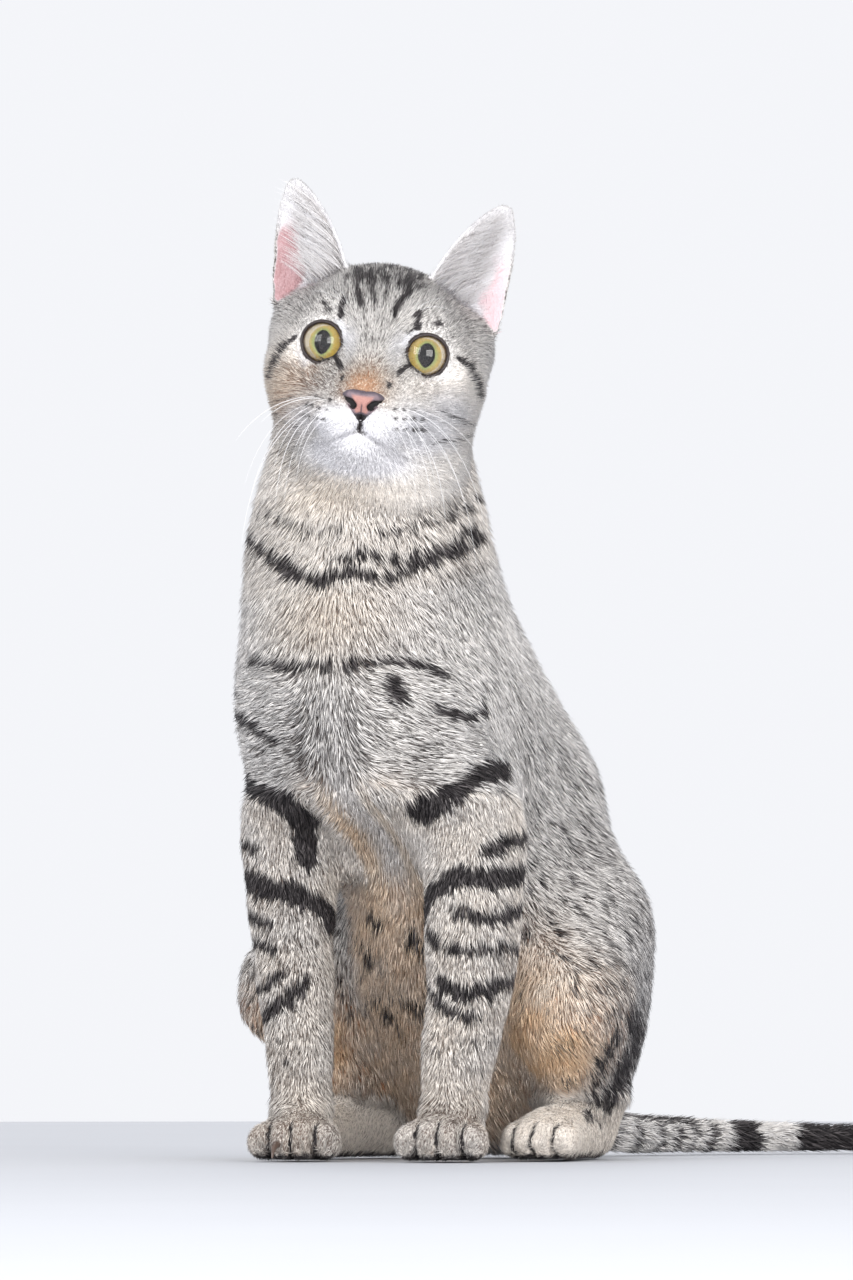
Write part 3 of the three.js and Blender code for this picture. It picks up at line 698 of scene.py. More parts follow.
def chest_lie():
    x, y, z = points.T
    fan = 0.35 * np.tanh((x - 2) / 16) * smooth(24, 0, y) + 2.4 * sideways()
    return np.stack([fan, 0.25 + 0.35 * smooth(0, 30, y), -np.ones(len(x))], 1)


def flank_lie():
    x, y, z = points.T
    return np.stack([0.12 * np.sign(x), 0.2 + 0.45 * smooth(10, 60, y), -np.ones(len(x))], 1)


def paw_lie(first, last):
    """Forwards along whichever of those paws is nearer."""
    lie = np.zeros_like(points)
    nearest = np.full(len(points), 1e9)
    for paw in PAWS[first:last]:
        across, back = paw_view(points, paw["at"], paw["heading"])
        distance = np.hypot(across, back)
        turn = math.radians(paw["heading"])
        lie[distance < nearest] = [math.sin(turn), -math.cos(turn), -0.75]
        nearest = np.minimum(nearest, distance)
    return lie


def tail_place():
    """How far along the tail each point is, in mm from its root, and the tail's direction there."""
    steps = np.linalg.norm(np.diff(TAIL_LINE, axis=0), axis=1)
    starts = np.concatenate([[0], np.cumsum(steps)])
    best, place, ahead = np.full(len(points), 1e9), np.zeros(len(points)), np.zeros((len(points), 2))
    for a, b, start, step in zip(TAIL_LINE, TAIL_LINE[1:], starts, steps):
        along = np.clip((points[:, :2] - a) @ (b - a) / step**2, 0, 1)
        distance = np.linalg.norm(points[:, :2] - a - along[:, None] * (b - a), axis=1)
        closer = distance < best
        best[closer], ahead[closer] = distance[closer], (b - a) / step
        place[closer] = (start + along * step)[closer]
    return place, ahead


TAIL_PLACE, TAIL_AHEAD = tail_place()
DOWN = np.tile([0.0, 0.12, -1.0], (len(points), 1))
fore, aft = smooth(30, 10, points[:, 1])[:, None], smooth(10, 30, points[:, 1])[:, None]
lie = np.zeros_like(points)
for names, directions in (
    (("head", "muzzle", "nose", "eye"), face_lie()),
    (("ear",), ear_lie()),
    (("neck",), chest_lie()),
    (("trunk",), chest_lie() * fore + flank_lie() * aft),
    (("foreleg",), DOWN),
    (("forepaw",), paw_lie(0, 2)),
    (("thigh",), flank_lie()),
    (("hind_foot",), paw_lie(2, 4)),
    (("tail",), np.column_stack([TAIL_AHEAD, -0.15 * np.ones(len(points))])),
):
    lie += unit(directions) * on(*names, rounds=25)[:, None]
print("least length of a blended direction:", np.linalg.norm(lie, axis=1).min().round(3))

# %% Lay them on the skin, and gather them into locks
LOCK_LENGTH = 13  # mm between two slow sways
LOCK_SWAY = math.radians(9)


def flat_on(directions, normals):
    return unit(directions - normals * (directions * normals).sum(1)[:, None])


lie = flat_on(web.smoothed(flat_on(lie, normals), 12), normals)
sway = LOCK_SWAY * (ripple(points, LOCK_LENGTH, 5) + 0.7 * ripple(points, LOCK_LENGTH * 0.4, 6))
sway *= 1 - 0.55 * on("head", "muzzle", "nose", "eye", "forepaw", "hind_foot")
lie = lie * np.cos(sway)[:, None] + np.cross(normals, lie) * np.sin(sway)[:, None]
print("most sway:", round(math.degrees(np.abs(sway).max())), "degrees")

# %% [markdown]
# ## The markings
# A tabby's pattern is painted once, as a few soft masks on the skin's points: dark for the stripes, for the
# dark pads and for painted shade between the toes and along the foot of each paw, pale for the white of the
# muzzle, warm for the buff, orange for the belly and the knees, bare for the pink of the ears, and a shade
# that makes the ticked ground lighter or darker. That shade is partly the coat's own tone and partly painted
# light: in the hollows under the body, in the hollow of the left ear and on the lower left of the face. Skin
# and coat both read the same masks, so hair and skin always agree. Each stripe is a short line of a few
# points with a width and a strength.
# On a leg it is drawn as if the leg were unrolled: degrees around it, from straight ahead towards the cat's
# left, against the height above the floor. A ripple of noise frays the edges.

# %% Strokes
EDGE = 1.2  # how soft a stroke's edge is, in mm
FRAY = 0.75
BROADER = 1.2  # stripes show a little narrower than they are drawn, because light hair laps over them


def painted(u, v, strokes, fray):
    """How dark strokes make each point. A stroke is a width, a strength and then its points (u, v)."""
    found = np.zeros(len(u))
    for width, strength, *line in strokes:
        low, high = np.min(line, 0) - width - 3, np.max(line, 0) + width + 3
        near = (u > low[0]) & (u < high[0]) & (v > low[1]) & (v < high[1])
        distance = np.abs(from_line(u[near], v[near], line)) + FRAY * fray[near]
        half = width * BROADER / 2
        found[near] = np.maximum(found[near], strength * smooth(half + EDGE, half - EDGE, distance))
    return found


def unrolled(middle_x, middle_y, radius):
    """The length of arc around an upright line, from straight ahead towards the cat's left."""
    return np.arctan2(points[:, 0] - middle_x, -(points[:, 1] - middle_y)) * radius


def in_degrees(strokes, radius_at):
    """Strokes given in degrees, as the arcs that unrolled() gives."""
    return [
        (width, strength, *[(math.radians(turn) * radius_at(height), height) for turn, height in line])
        for width, strength, *line in strokes
    ]


fray = ripple(points, 4.5, 11) + 0.6 * ripple(points, 2.0, 12)
dark = np.zeros(len(points))
print("fraying:", fray.std().round(2), "mm")

# %% Bars of the forelegs
LEG_TOP, LEG_FOOT = 122, 22  # heights at which each leg's middle is given
LEG_MIDDLE = {"left": ((37, 16), (36, 4)), "right": ((-39, 11), (-27, -3))}  # (x, y) at the top and the foot


def leg_radius(height):
    return 11.5 + 8 * smooth(85, 150, height)


LEG_BARS = {
    "left": [
        (6.8, 1.0, (-25, 131), (10, 138), (40, 147), (105, 148)),
        (2.2, 0.5, (60, 141), (100, 136)),
        (4.6, 0.9, (50, 116), (80, 121), (130, 122)),
        (6.6, 1.0, (-60, 90), (-20, 101), (15, 107), (50, 106), (130, 109)),
        (4.4, 0.9, (25, 93), (60, 91), (130, 97)),
        (3.0, 0.85, (-25, 86), (0, 80), (35, 79), (110, 80)),
        (2.8, 0.95, (-60, 70), (-12, 61), (15, 56), (50, 54)),
        (4.6, 0.95, (5, 67), (30, 62), (55, 64), (120, 70)),
        (1.6, 0.55, (20, 46), (60, 44), (110, 46)),
        (1.4, 0.5, (-10, 41), (25, 38)),
        (1.4, 0.45, (40, 35), (80, 34)),
        (1.4, 0.45, (-40, 50), (-10, 47)),
        (1.3, 0.4, (-20, 33), (15, 30)),
    ],
    "right": [
        (6.4, 1.0, (-100, 148), (-50, 146), (-5, 141), (25, 137), (42, 129), (52, 114)),
        (3.4, 0.9, (-110, 124), (-60, 122), (-22, 119)),
        (7.4, 1.0, (-120, 108), (-45, 107), (0, 103), (30, 102), (62, 98), (115, 91)),
        (3.4, 0.85, (-110, 95), (-50, 93), (-14, 91)),
        (2.6, 0.8, (-110, 82), (-45, 83), (-8, 80)),
        (3.4, 0.9, (-100, 64), (-30, 66), (6, 71)),
        (3.8, 0.95, (-60, 54), (-22, 57), (10, 60), (42, 67)),
        (1.6, 0.55, (-60, 44), (-25, 46), (5, 44)),
        (1.4, 0.5, (-25, 38), (12, 37)),
        (1.4, 0.45, (10, 33), (40, 34)),
        (1.3, 0.4, (-50, 32), (-15, 31)),
    ],
}


def leg_arc(side):
    """The arc around a foreleg at each point, and 1 where that leg's bars may fall."""
    (top_x, top_y), (foot_x, foot_y) = LEG_MIDDLE[side]
    share = np.clip((points[:, 2] - LEG_FOOT) / (LEG_TOP - LEG_FOOT), 0, 1)
    x, y = foot_x + (top_x - foot_x) * share, foot_y + (top_y - foot_y) * share
    near = np.hypot(points[:, 0] - x, points[:, 1] - y)
    beside = smooth(34, 30, near) * (points[:, 0] * SIDES[side] > 2)
    here = beside * on("foreleg", "forepaw", "trunk", rounds=2)
    return unrolled(x, y, leg_radius(points[:, 2])), here


for side, bars in LEG_BARS.items():
    arc, here = leg_arc(side)
    dark = most(dark, here * painted(arc, points[:, 2], in_degrees(bars, leg_radius), fray))
print("points under the legs' bars:", int((dark > 0.5).sum()))

# %% Bands of the neck and marks of the chest
NECK_MIDDLE, NECK_RADIUS = (-1, 12), 30
NECK_BANDS = [
    (2.6, 0.5, (-60, 249), (-28, 242), (-8, 237), (10, 238)),
    (2.4, 0.65, (32, 236), (47, 238), (62, 242), (100, 252)),
    (2.6, 0.9, (8, 226), (25, 228), (40, 225), (58, 229), (85, 239)),
    (4.2, 0.85, (-80, 243), (-60, 238), (-35, 229), (-13, 221), (0, 218), (14, 221)),
    (3.4, 0.8, (18, 221), (30, 219), (41, 221), (57, 226), (95, 237)),
    (2.0, 0.35, (-75, 232), (-40, 221)),
    (2.4, 0.4, (60, 219), (90, 226)),
]
CHEST_MIDDLE, CHEST_RADIUS = (0, 40), 55
CHEST_MARKS = [
    (3.0, 0.7, (-28, 190), (-18, 188), (-9, 186.5), (3, 186)),
    (2.8, 0.75, (8, 186), (19, 188), (28, 187), (38, 183)),
    (3.0, 0.8, (36, 170), (40, 168), (46, 167), (52, 170)),
    (1.8, 0.45, (50, 175), (60, 181)),
    (3.8, 0.75, (-46, 171), (-33, 168), (-20, 160)),
    (2.6, 0.6, (-50, 182), (-38, 178)),
    (5.0, 0.85, (22.2, 180), (23.6, 174)),
]
front = smooth(60, 40, points[:, 1])
for middle, radius, strokes, names in (
    (NECK_MIDDLE, NECK_RADIUS, NECK_BANDS, ("neck", "trunk", "head")),
    (CHEST_MIDDLE, CHEST_RADIUS, CHEST_MARKS, ("neck", "trunk")),
):
    arcs = in_degrees(strokes, lambda height: radius)
    marks_here = painted(unrolled(*middle, radius), points[:, 2], arcs, fray)
    dark = most(dark, marks_here * on(*names, rounds=6) * front)
print("points that are dark so far:", int((dark > 0.5).sum()))

# %% Fine broken lines of the flank, the thigh and the back
def lines_along(place, spacing, seed, bend=0.35):
    """Broken lines that far apart, across the direction in which place is measured."""
    phase = math.tau * (place / spacing + bend * ripple(points, spacing * 4, seed))
    broken = smooth(-0.9, 0.5, ripple(points * [1, 1, 0.45], spacing * 1.3, seed + 1))
    return smooth(0.1, 0.95, np.sin(phase) + 0.25 * fray) * broken


x, y, z = points.T
rear = on("thigh", "trunk", "hind_foot", rounds=8)
flank = rear * smooth(25, 50, y) * smooth(46, 60, z) * smooth(205, 150, z)
dark = most(dark, 0.62 * flank * lines_along(y - 0.3 * z, 5.0, 21, 0.14))
# strokes of the haunch as seen half from the front: how far out to that side, and the height
HAUNCH_STROKES = [
    (6.0, 0.95, (101, 56), (102, 47), (97, 35), (92, 22)),
    (3.4, 0.8, (94, 48), (89, 39), (86, 28), (85, 16)),
    (2.4, 0.65, (106, 52), (104, 38), (99, 26)),
    (2.2, 0.55, (81, 50), (91, 56), (101, 55)),
    (2.0, 0.5, (92, 20), (90, 13)),
    (2.6, 0.5, (82, 62), (94, 66), (106, 62)),
    (2.4, 0.45, (78, 70), (92, 74), (106, 72)),
    (2.0, 0.45, (72, 43), (81, 47)),
    (2.0, 0.5, (72, 30), (82, 33)),
    (1.8, 0.4, (70, 20), (80, 22)),
]
half_round = 0.866 * np.abs(x) + 0.5 * y
haunch = rear * smooth(30, 42, np.abs(x))
streaks = 0.85 + 0.3 * ripple(points * [1, 1, 0.35], 4.5, 47)
dark = most(dark, haunch * streaks * painted(half_round, z, HAUNCH_STROKES, 1.4 * fray))
knee_lines = on("thigh", rounds=8) * smooth(52, 66, y) * smooth(95, 80, y)
knee_lines = knee_lines * smooth(64, 72, z) * smooth(92, 82, z)
dark = most(dark, 0.6 * knee_lines * lines_along(z + 0.45 * y, 8.5, 25, 0.2))
spine = smooth(0.15, 0.7, normals[:, 1]) * rear * smooth(40, 70, z)
spine_line = smooth(8, 4.5, np.abs(x + 2 * ripple(points, 40, 27)))
dark = most(dark, spine * spine_line * (0.55 + 0.2 * ripple(points, 9, 28)))
back_bars = spine * smooth(3, 9, np.abs(x)) * smooth(42, 26, np.abs(x))
dark = most(dark, 0.55 * back_bars * lines_along(z + 0.5 * np.abs(x), 15, 29, 0.15))
print("points that are dark so far:", int((dark > 0.5).sum()))

# %% Rings of the tail
# from and to along the tail in mm, and how dark
TAIL_RINGS = [
    (44, 50, 0.5), (60, 65, 0.6), (75, 80, 0.7), (86, 90, 0.6), (96, 100, 0.75),
    (106, 110, 0.75), (119, 134, 1.0), (152, 184, 0.95), (190, 240, 1.0),
]
RING_EDGE = 1.2  # how soft a ring's edge is, in mm
on_tail = on("tail", rounds=4)
frayed_place = TAIL_PLACE + 1.1 * fray
for start, end, strength in TAIL_RINGS:
    begun = smooth(start - RING_EDGE, start + RING_EDGE, frayed_place)
    ended = smooth(end + RING_EDGE, end - RING_EDGE, frayed_place)
    dark = most(dark, strength * on_tail * begun * ended)
tail_top = on_tail * smooth(0.5, 0.85, normals[:, 2]) * smooth(125, 90, TAIL_PLACE)
dark = most(dark, 0.6 * tail_top)
print("rings on the tail:", len(TAIL_RINGS))

# %% Marks of the head
# drawn in the head's frame as seen from the front: x to the cat's left against z upwards
FACE_STROKES = [
    (1.9, 0.95, (-10.4, 29), (-9.6, 22), (-7.2, 15.5)),
    (1.7, 0.75, (-6, 28), (-3.7, 22), (-1.2, 16)),
    (1.2, 0.5, (-0.2, 12.5), (0.4, 10)),
    (1.4, 0.6, (1.5, 27), (2, 22), (1.3, 17)),
    (2.2, 1.0, (9, 30), (10, 23), (7.4, 19), (6, 14)),
    (1.6, 0.6, (-1.5, 30), (-0.6, 24)),
    (1.6, 0.6, (5, 30), (5.4, 24)),
    (2.2, 0.95, (-13.7, 17.5), (-14.4, 10)),
    (2.2, 0.6, (-21.4, 14.5), (-18.6, 12.5)),
    (2.2, 0.9, (15, 16), (15, 10), (13.2, 8)),
    (1.8, 0.7, (20.6, 12.3), (23.6, 12.6)),
    (1.7, 0.95, (-31, 0.5), (-35.4, -3.7), (-37.4, -9.5), (-38.7, -15)),
    (1.7, 0.95, (32, 0.5), (36, -1.7), (39, -8), (41.5, -14), (42, -20)),
    (1.5, 0.5, (29, -20), (35, -22.5), (41, -24)),
    (1.5, 0.45, (-27, -21), (-34, -24), (-40, -26)),
    (1.5, 0.5, (-26, -33), (-33, -31), (-38, -26)),
    (1.5, 0.5, (27, -33), (34, -31), (39, -27)),
    (1.3, 0.85, (12.0, -5.0), (10.6, -8.8)),
    (1.3, 0.85, (-12.0, -5.0), (-10.6, -8.8)),
    (1.4, 0.75, (8.4, -12.6), (8.6, -14)),
    (1.4, 0.75, (-9.3, -12.4), (-9.5, -13.6)),
    (1.1, 0.8, (0, -27), (0, -31.6)),
    (1.0, 0.62, (-2.6, -32.6), (0, -31.4), (2.6, -32.6)),
    (0.8, 0.3, (2.6, -32.8), (6.6, -35.4)),
    (0.8, 0.3, (-2.6, -32.8), (-6.6, -35.4)),
]
WHISKER_ROWS = [(-21.6, 3), (-25.2, 4), (-29.2, 4)]  # height of a row, and how many whiskers it holds
WHISKER_FIRST, WHISKER_STEP = 12.6, 3.0


def whisker_spots():
    """The roots of the whiskers on the left cheek, in the head's frame as seen from the front."""
    for row, (height, count) in enumerate(WHISKER_ROWS):
        for place in range(count):
            yield WHISKER_FIRST + row * 0.7 + place * WHISKER_STEP, height + 0.35 * place


fx, fy, fz = face_points.T
on_face = on("head", "muzzle", "nose", "eye", rounds=3)
face_front = on_face * smooth(16, 8, fy)
spots = [(1.25, 0.72, (u - 0.4, v), (u + 0.3, v)) for u, v in whisker_spots()]
dark = most(dark, face_front * painted(fx, fz, FACE_STROKES, 0.5 * fray))
dark = most(dark, face_front * painted(np.abs(fx), fz, spots, 0.3 * fray))
print("strokes on the face:", len(FACE_STROKES), "and whisker spots:", 2 * len(spots))

# %% Stripes over the crown, and rims of the eyes
crown_place = fx + 2.2 * ripple(points, 15, 31)
crown = on_face * smooth(18, 26, fz + 0.6 * np.maximum(fy, 0)) * smooth(19, 12, np.abs(fx))
crown = crown * smooth(-2, 6, fy + 0.5 * fz - 6) * smooth(52, 34, fy)
crown_lines = 0.75 * np.cos(math.tau * crown_place / 6.6) + 0.45 * fray + 0.9 * ripple(points, 6, 43)
nape = on("head", "neck", "trunk", rounds=6) * smooth(20, 34, fy) * smooth(215, 232, z)
nape = nape * smooth(26, 14, np.abs(fx))
nape_lines = np.cos(math.tau * crown_place / 8.5) + 0.3 * fray
dark = most(dark, 0.9 * crown * smooth(-0.35, 0.7, crown_lines), 0.75 * nape * smooth(0.0, 0.9, nape_lines))
lid_gap, lid_turn = from_lids(face_points)
eye_rim = smooth(1.0, 0.5, lid_gap)
below = smooth(0.1, -0.7, np.sin(lid_turn))
inner = smooth(0.1, 0.9, -np.cos(lid_turn))
above = smooth(0.3, 0.9, np.sin(lid_turn))
eye_ring = 4.0 + 1.6 * below + 3.4 * inner - 2.2 * above + 0.6 * fray + 0.8 * ripple(points, 7, 41)
ring_strength = 0.14 + 0.36 * below + 0.75 * inner + 0.12 * ripple(points, 5, 49)
eye_pale = smooth(eye_ring, eye_ring * 0.4, lid_gap) * np.clip(ring_strength, 0, 1)
dark = most(dark * (1 - 0.75 * eye_pale * (dark < 0.85)), eye_rim)
print("pale skin around the eyes:", int((eye_pale > 0.5).sum()), "points")

# %% White, buff and orange
both = np.array([np.abs(fx), fy, fz]).T  # the head folded in two, so that one blob lies on both of its sides
FACE_WHITES = [  # strength, then the middle and size of a soft blob in the head's frame
    (1.3, both, (7, -30, -32), (12, 30, 8.5)),
    (1.5, both, (0, -20, -41), (20, 30, 8)),
    (0.62, both, (24, -12, -30), (15, 28, 11)),
    (1.15, both, (9.4, -30, 2.5), (3.9, 20, 8)),
    (1.1, face_points, (22, -14, -29), (17, 28, 10)),
    (0.7, face_points, (31, -4, -21), (13, 30, 12)),
]
on_trunk, on_rear = on("trunk", rounds=4), on("thigh", "trunk", rounds=4)
pale = most(eye_pale * (1 - eye_rim), 0.5 * on_trunk * blob(points, (3, -5, 114), (5, 25, 22)))
for strength, place, middle, size in FACE_WHITES:
    pale = most(pale, on_face * np.clip(strength * blob(place, middle, size), 0, 1))
bridge = on_face * np.clip(1.15 * blob(both, (0, -34, -12.5), (11, 16, 8)), 0, 1) * (1 - 0.9 * eye_pale)
under_eye = on_face * blob(both, (25, -10, -13.5), (10, 30, 5.5))
inner_chest = on_trunk * smooth(40, 20, y) * smooth(150, 132, z) * smooth(24, 16, np.abs(x - 1))
hollows = np.clip(blob(points, (-13, 0, 120), (9, 30, 18)) + blob(points, (20, 0, 122), (8, 30, 16)), 0, 1)
belly = on_rear * smooth(118, 96, z) * smooth(34, 24, np.abs(x)) * smooth(90, 70, y)
knees = sum(blob(points, (sign * 53, 42, 43), (22, 24, 19)) for sign in (1, -1))
inner_thigh = on("thigh", "trunk", rounds=6) * smooth(46, 32, np.abs(x))
inner_thigh = inner_thigh * smooth(70, 50, z) * smooth(100, 80, y)
# the recess carries orange fur, and also painted light against the shade that falls in it
recess = on_rear * blob(points, (44, 40, 52), (18, 26, 28))  # between the left knee and the belly
thigh_tops = blob(points, (64, 50, 66), (20, 22, 10)) + blob(points, (-60, 56, 66), (20, 22, 10))
warm = most(
    on_face * np.where(fx < 0, 0.85, 0.5) * blob(both, (34, 0, -20), (16, 40, 16)),
    0.45 * under_eye,
    bridge,
    0.75 * smooth(60, 30, y) * blob(points, (-2, -20, 250), (30, 34, 12)),
    0.8 * smooth(60, 30, y) * blob(points, (2, -30, 204), (26, 40, 17)),
    0.35 * on("neck", rounds=20) * smooth(60, 25, y),
    0.95 * inner_chest * smooth(3, 8, np.abs(x - 1)),
    on("foreleg", "forepaw", rounds=10) * (0.38 + 0.12 * ripple(points, 22, 33)),
    0.5 * on("hind_foot", rounds=12),
    0.8 * on("thigh", rounds=4) * thigh_tops,
)
orange = most(
    0.32 * bridge,
    0.35 * on_face * blob(face_points, (-32, 0, -22), (11, 40, 11)),
    0.7 * belly,
    0.7 * inner_thigh,
    0.95 * recess,
    0.8 * on_trunk * hollows,
    on_rear * np.clip(1.6 * knees, 0, 1),
)
orange *= 0.9 + 0.15 * ripple(points, 14, 35)
print("points that are white, buff and orange:", [int((m > 0.4).sum()) for m in (pale, warm, orange)])

# %% Ears
EAR_HALF = 18.8  # half the width of an ear at its foot
# how far across an ear the pink starts and is full, and how strong it gets; and where the white is full
PINK_EDGE = {"left": (0.05, 0.6, 0.95), "right": (-0.15, 0.35, 1.0)}
WHITE_EDGE = {"left": -0.6, "right": -0.2}


def across_ear(side):
    """How far up an ear each point is, and how far across it: -1 at its inner edge and 1 at its outer one."""
    up, to_middle = ear_view(face_points, side)
    half = np.maximum(EAR_HALF * (1 - np.clip(up, 0, 0.95) ** 2) ** 0.6, 2)
    return up, -to_middle[:, 0] * SIDES[side] / half


bare = np.zeros(len(points))
for side, sign in SIDES.items():
    up, outward = across_ear(side)
    that_side = fx * sign > 6
    hollow, ear = that_side * in_ear, on("ear", rounds=2) * that_side
    low, high, strength = PINK_EDGE[side]
    outer_half = smooth(low, high, outward + 0.12 * ripple(points, 9, 37))
    pink = strength * hollow * np.clip(outer_half + smooth(0.2, 0.02, up), 0, 1) * smooth(0.8, 0.58, up)
    bare = most(bare, pink)
    rim = ear * smooth(0.7, 0.92, np.abs(outward)) * smooth(0.0, 0.2, up)
    tips = ear * smooth(0.3, -0.2, face_normals[:, 1]) * smooth(0.55, 0.75, up)
    back_edge = on("ear", rounds=3) * (1 - in_ear) * that_side
    back_edge = back_edge * smooth(0.55, 0.9, -outward) * smooth(0.0, 0.3, up)
    white = hollow * smooth(-1.0, WHITE_EDGE[side], outward)
    pale = most(pale, white, 0.9 * rim, 0.55 * tips, 0.6 * back_edge)
dark *= 1 - 0.9 * in_ear
print("points that are bare and pink:", int((bare > 0.5).sum()))

# %% Belly spots, and painted shade in the clefts and along the soles
BELLY_SPOTS = [  # how far to the cat's left, how high, and how big
    (-14, 92, 4), (4, 84, 4.5), (-20, 78, 3.5), (10, 70, 3), (-18, 58, 5), (-4, 60, 3.5), (14, 96, 5),
]
for spot_x, spot_z, size in BELLY_SPOTS:
    spot = np.exp(-(((x - spot_x) / size / 1.3) ** 2 + ((z - spot_z + 0.3 * (x - spot_x)) / size) ** 2))
    dark = most(dark, 0.75 * belly * smooth(0.25, 0.95, spot + 0.2 * fray) * smooth(100, 70, y))
# painted shade: the clefts between the toes are dark, and so is the foot of each paw, which is partly its
# dark pads and partly painted shade where it meets the floor
crease = cleft(points, 1.0) * on("forepaw", "hind_foot", rounds=2)
sole = on("forepaw", "hind_foot", rounds=3) * smooth(4.5, 1.6, z + 0.5 * fray)
dark = most(dark, 0.95 * smooth(0.25, 0.75, crease), 0.85 * sole)
print("points that are dark in the end:", int((dark > 0.5).sum()))

# %% Shade: where the ground is lighter or darker, and painted light where shade falls
SHADE_PATCHES = [  # how much lighter, then the middle and size of a soft blob in the cat's frame
    (0.2, (0, -20, 252), (34, 34, 14)),
    (0.12, (40, 0, 190), (26, 40, 26)),
    (0.1, (-35, -5, 190), (26, 40, 26)),
    (0.22, (62, 40, 125), (24, 50, 34)),
    (-0.24, (32, -8, 154), (8, 25, 14)),
    (-0.24, (-11, -20, 146), (8, 25, 16)),
    (-0.14, (-4, -30, 165), (26, 40, 16)),
    (-0.16, (46, 40, 160), (20, 12, 16)),
    (-0.16, (-46, 40, 160), (20, 12, 16)),
]
SHADE_PARTS = [  # how much lighter, how softly that ends, and the parts
    (0.28, 20, "tail"),
    (0.12, 12, "tail"),
    (0.18, 12, "hind_foot"),
    (-0.1, 10, "forepaw"),
    (0.1, 12, "foreleg"),
    (-0.1, 20, "thigh"),
    (0.06, 12, "thigh", "trunk"),
]
lilac = blob(points, (-27, -12, 82), (6.5, 9, 8)) * on("foreleg", rounds=4)  # a thin place on the right leg
shade = 0.53 + 0.17 * on("neck", rounds=20) * smooth(60, 25, y) - 0.1 * on("foreleg", rounds=12) * (x < 0)
for amount, middle, size in SHADE_PATCHES:
    shade += amount * blob(points, middle, size)
for amount, rounds, *names in SHADE_PARTS:
    shade += amount * on(*names, rounds=rounds)
# painted light: the knees, the recess by the left knee, the hollows of the chest, the belly and the inner
# chest are made lighter against the shade between the legs and under the body; the lilac patch is the coat's
# own
shade += 0.5 * (np.clip(knees, 0, 1) + recess + hollows) + 0.42 * belly + 0.4 * inner_chest + 0.05 * lilac
# the face: lighter temples and brow are the coat's own; the lower left side is painted light, lighter as if a
# lamp fell on it from that side
shade += on_face * (
    0.18 * blob(both, (36, 0, -8), (12, 30, 16))
    + 0.14 * blob(both, (0, -20, 12), (22, 20, 12))
    - 0.07 * blob(both, (0, -10, 18), (22, 24, 12))
    + 0.3 * smooth(2, 20, fx) * smooth(4, -8, fz)
)
shade -= 0.3 * crown + 0.3 * under_eye + 0.26 * bridge
shade -= 0.12 * smooth(20, 40, fy) * on("head", rounds=8)
shade -= 0.12 * haunch * smooth(80, 94, half_round) * smooth(70, 50, z)
shade -= 0.1 * on("ear", rounds=3) * (1 - in_ear)
# painted light in the hollow of the left ear, which also makes its pink paler; the right ear's hollow is
# darker ticked fur of its own
shade += in_ear * np.where(fx > 0, 0.3, -0.12)
shade += 0.05 * ripple(points, 30, 39) + 0.04 * ripple(points, 11, 40)
MASKS = np.clip(np.stack([dark, warm, pale, orange, bare, shade], 1), 0, 1)
print("darkest, warmest and palest means:", MASKS.mean(0).round(3))

# %% [markdown]
# ## Finishes
# Shader sums are written as plain expressions. A Wire is the output of a node, and adding or multiplying
# wires adds Math nodes behind the scenes. Colours are blended with Mix nodes. Every colour is written as
# one would read it off a paint chart, from 0 to 255, and turned into the light that it stands for.

# %% Wires and finishes
class Wire:
    """The output of a node, which can be added to, taken from, multiplied and raised to a power."""

    def __init__(self, finish, socket):
        self.finish, self.socket = finish, socket

    def reckon(self, operation, first, second):
        return self.finish.node("ShaderNodeMath", {"operation": operation}, {0: first, 1: second})

    def __add__(self, other):
        return self.reckon("ADD", self, other)

    def __mul__(self, other):
        return self.reckon("MULTIPLY", self, other)

    def __sub__(self, other):
        return self.reckon("SUBTRACT", self, other)

    def __rsub__(self, other):
        return self.reckon("SUBTRACT", other, self)

    def __pow__(self, other):
        return self.reckon("POWER", self, other)

    __radd__ = __add__
    __rmul__ = __mul__


def paint(red, green, blue):
    """The light of a colour written from 0 to 255."""
    parts = [value / 255 for value in (red, green, blue)]
    return tuple(p / 12.92 if p <= 0.04045 else ((p + 0.055) / 1.055) ** 2.4 for p in parts) + (1.0,)


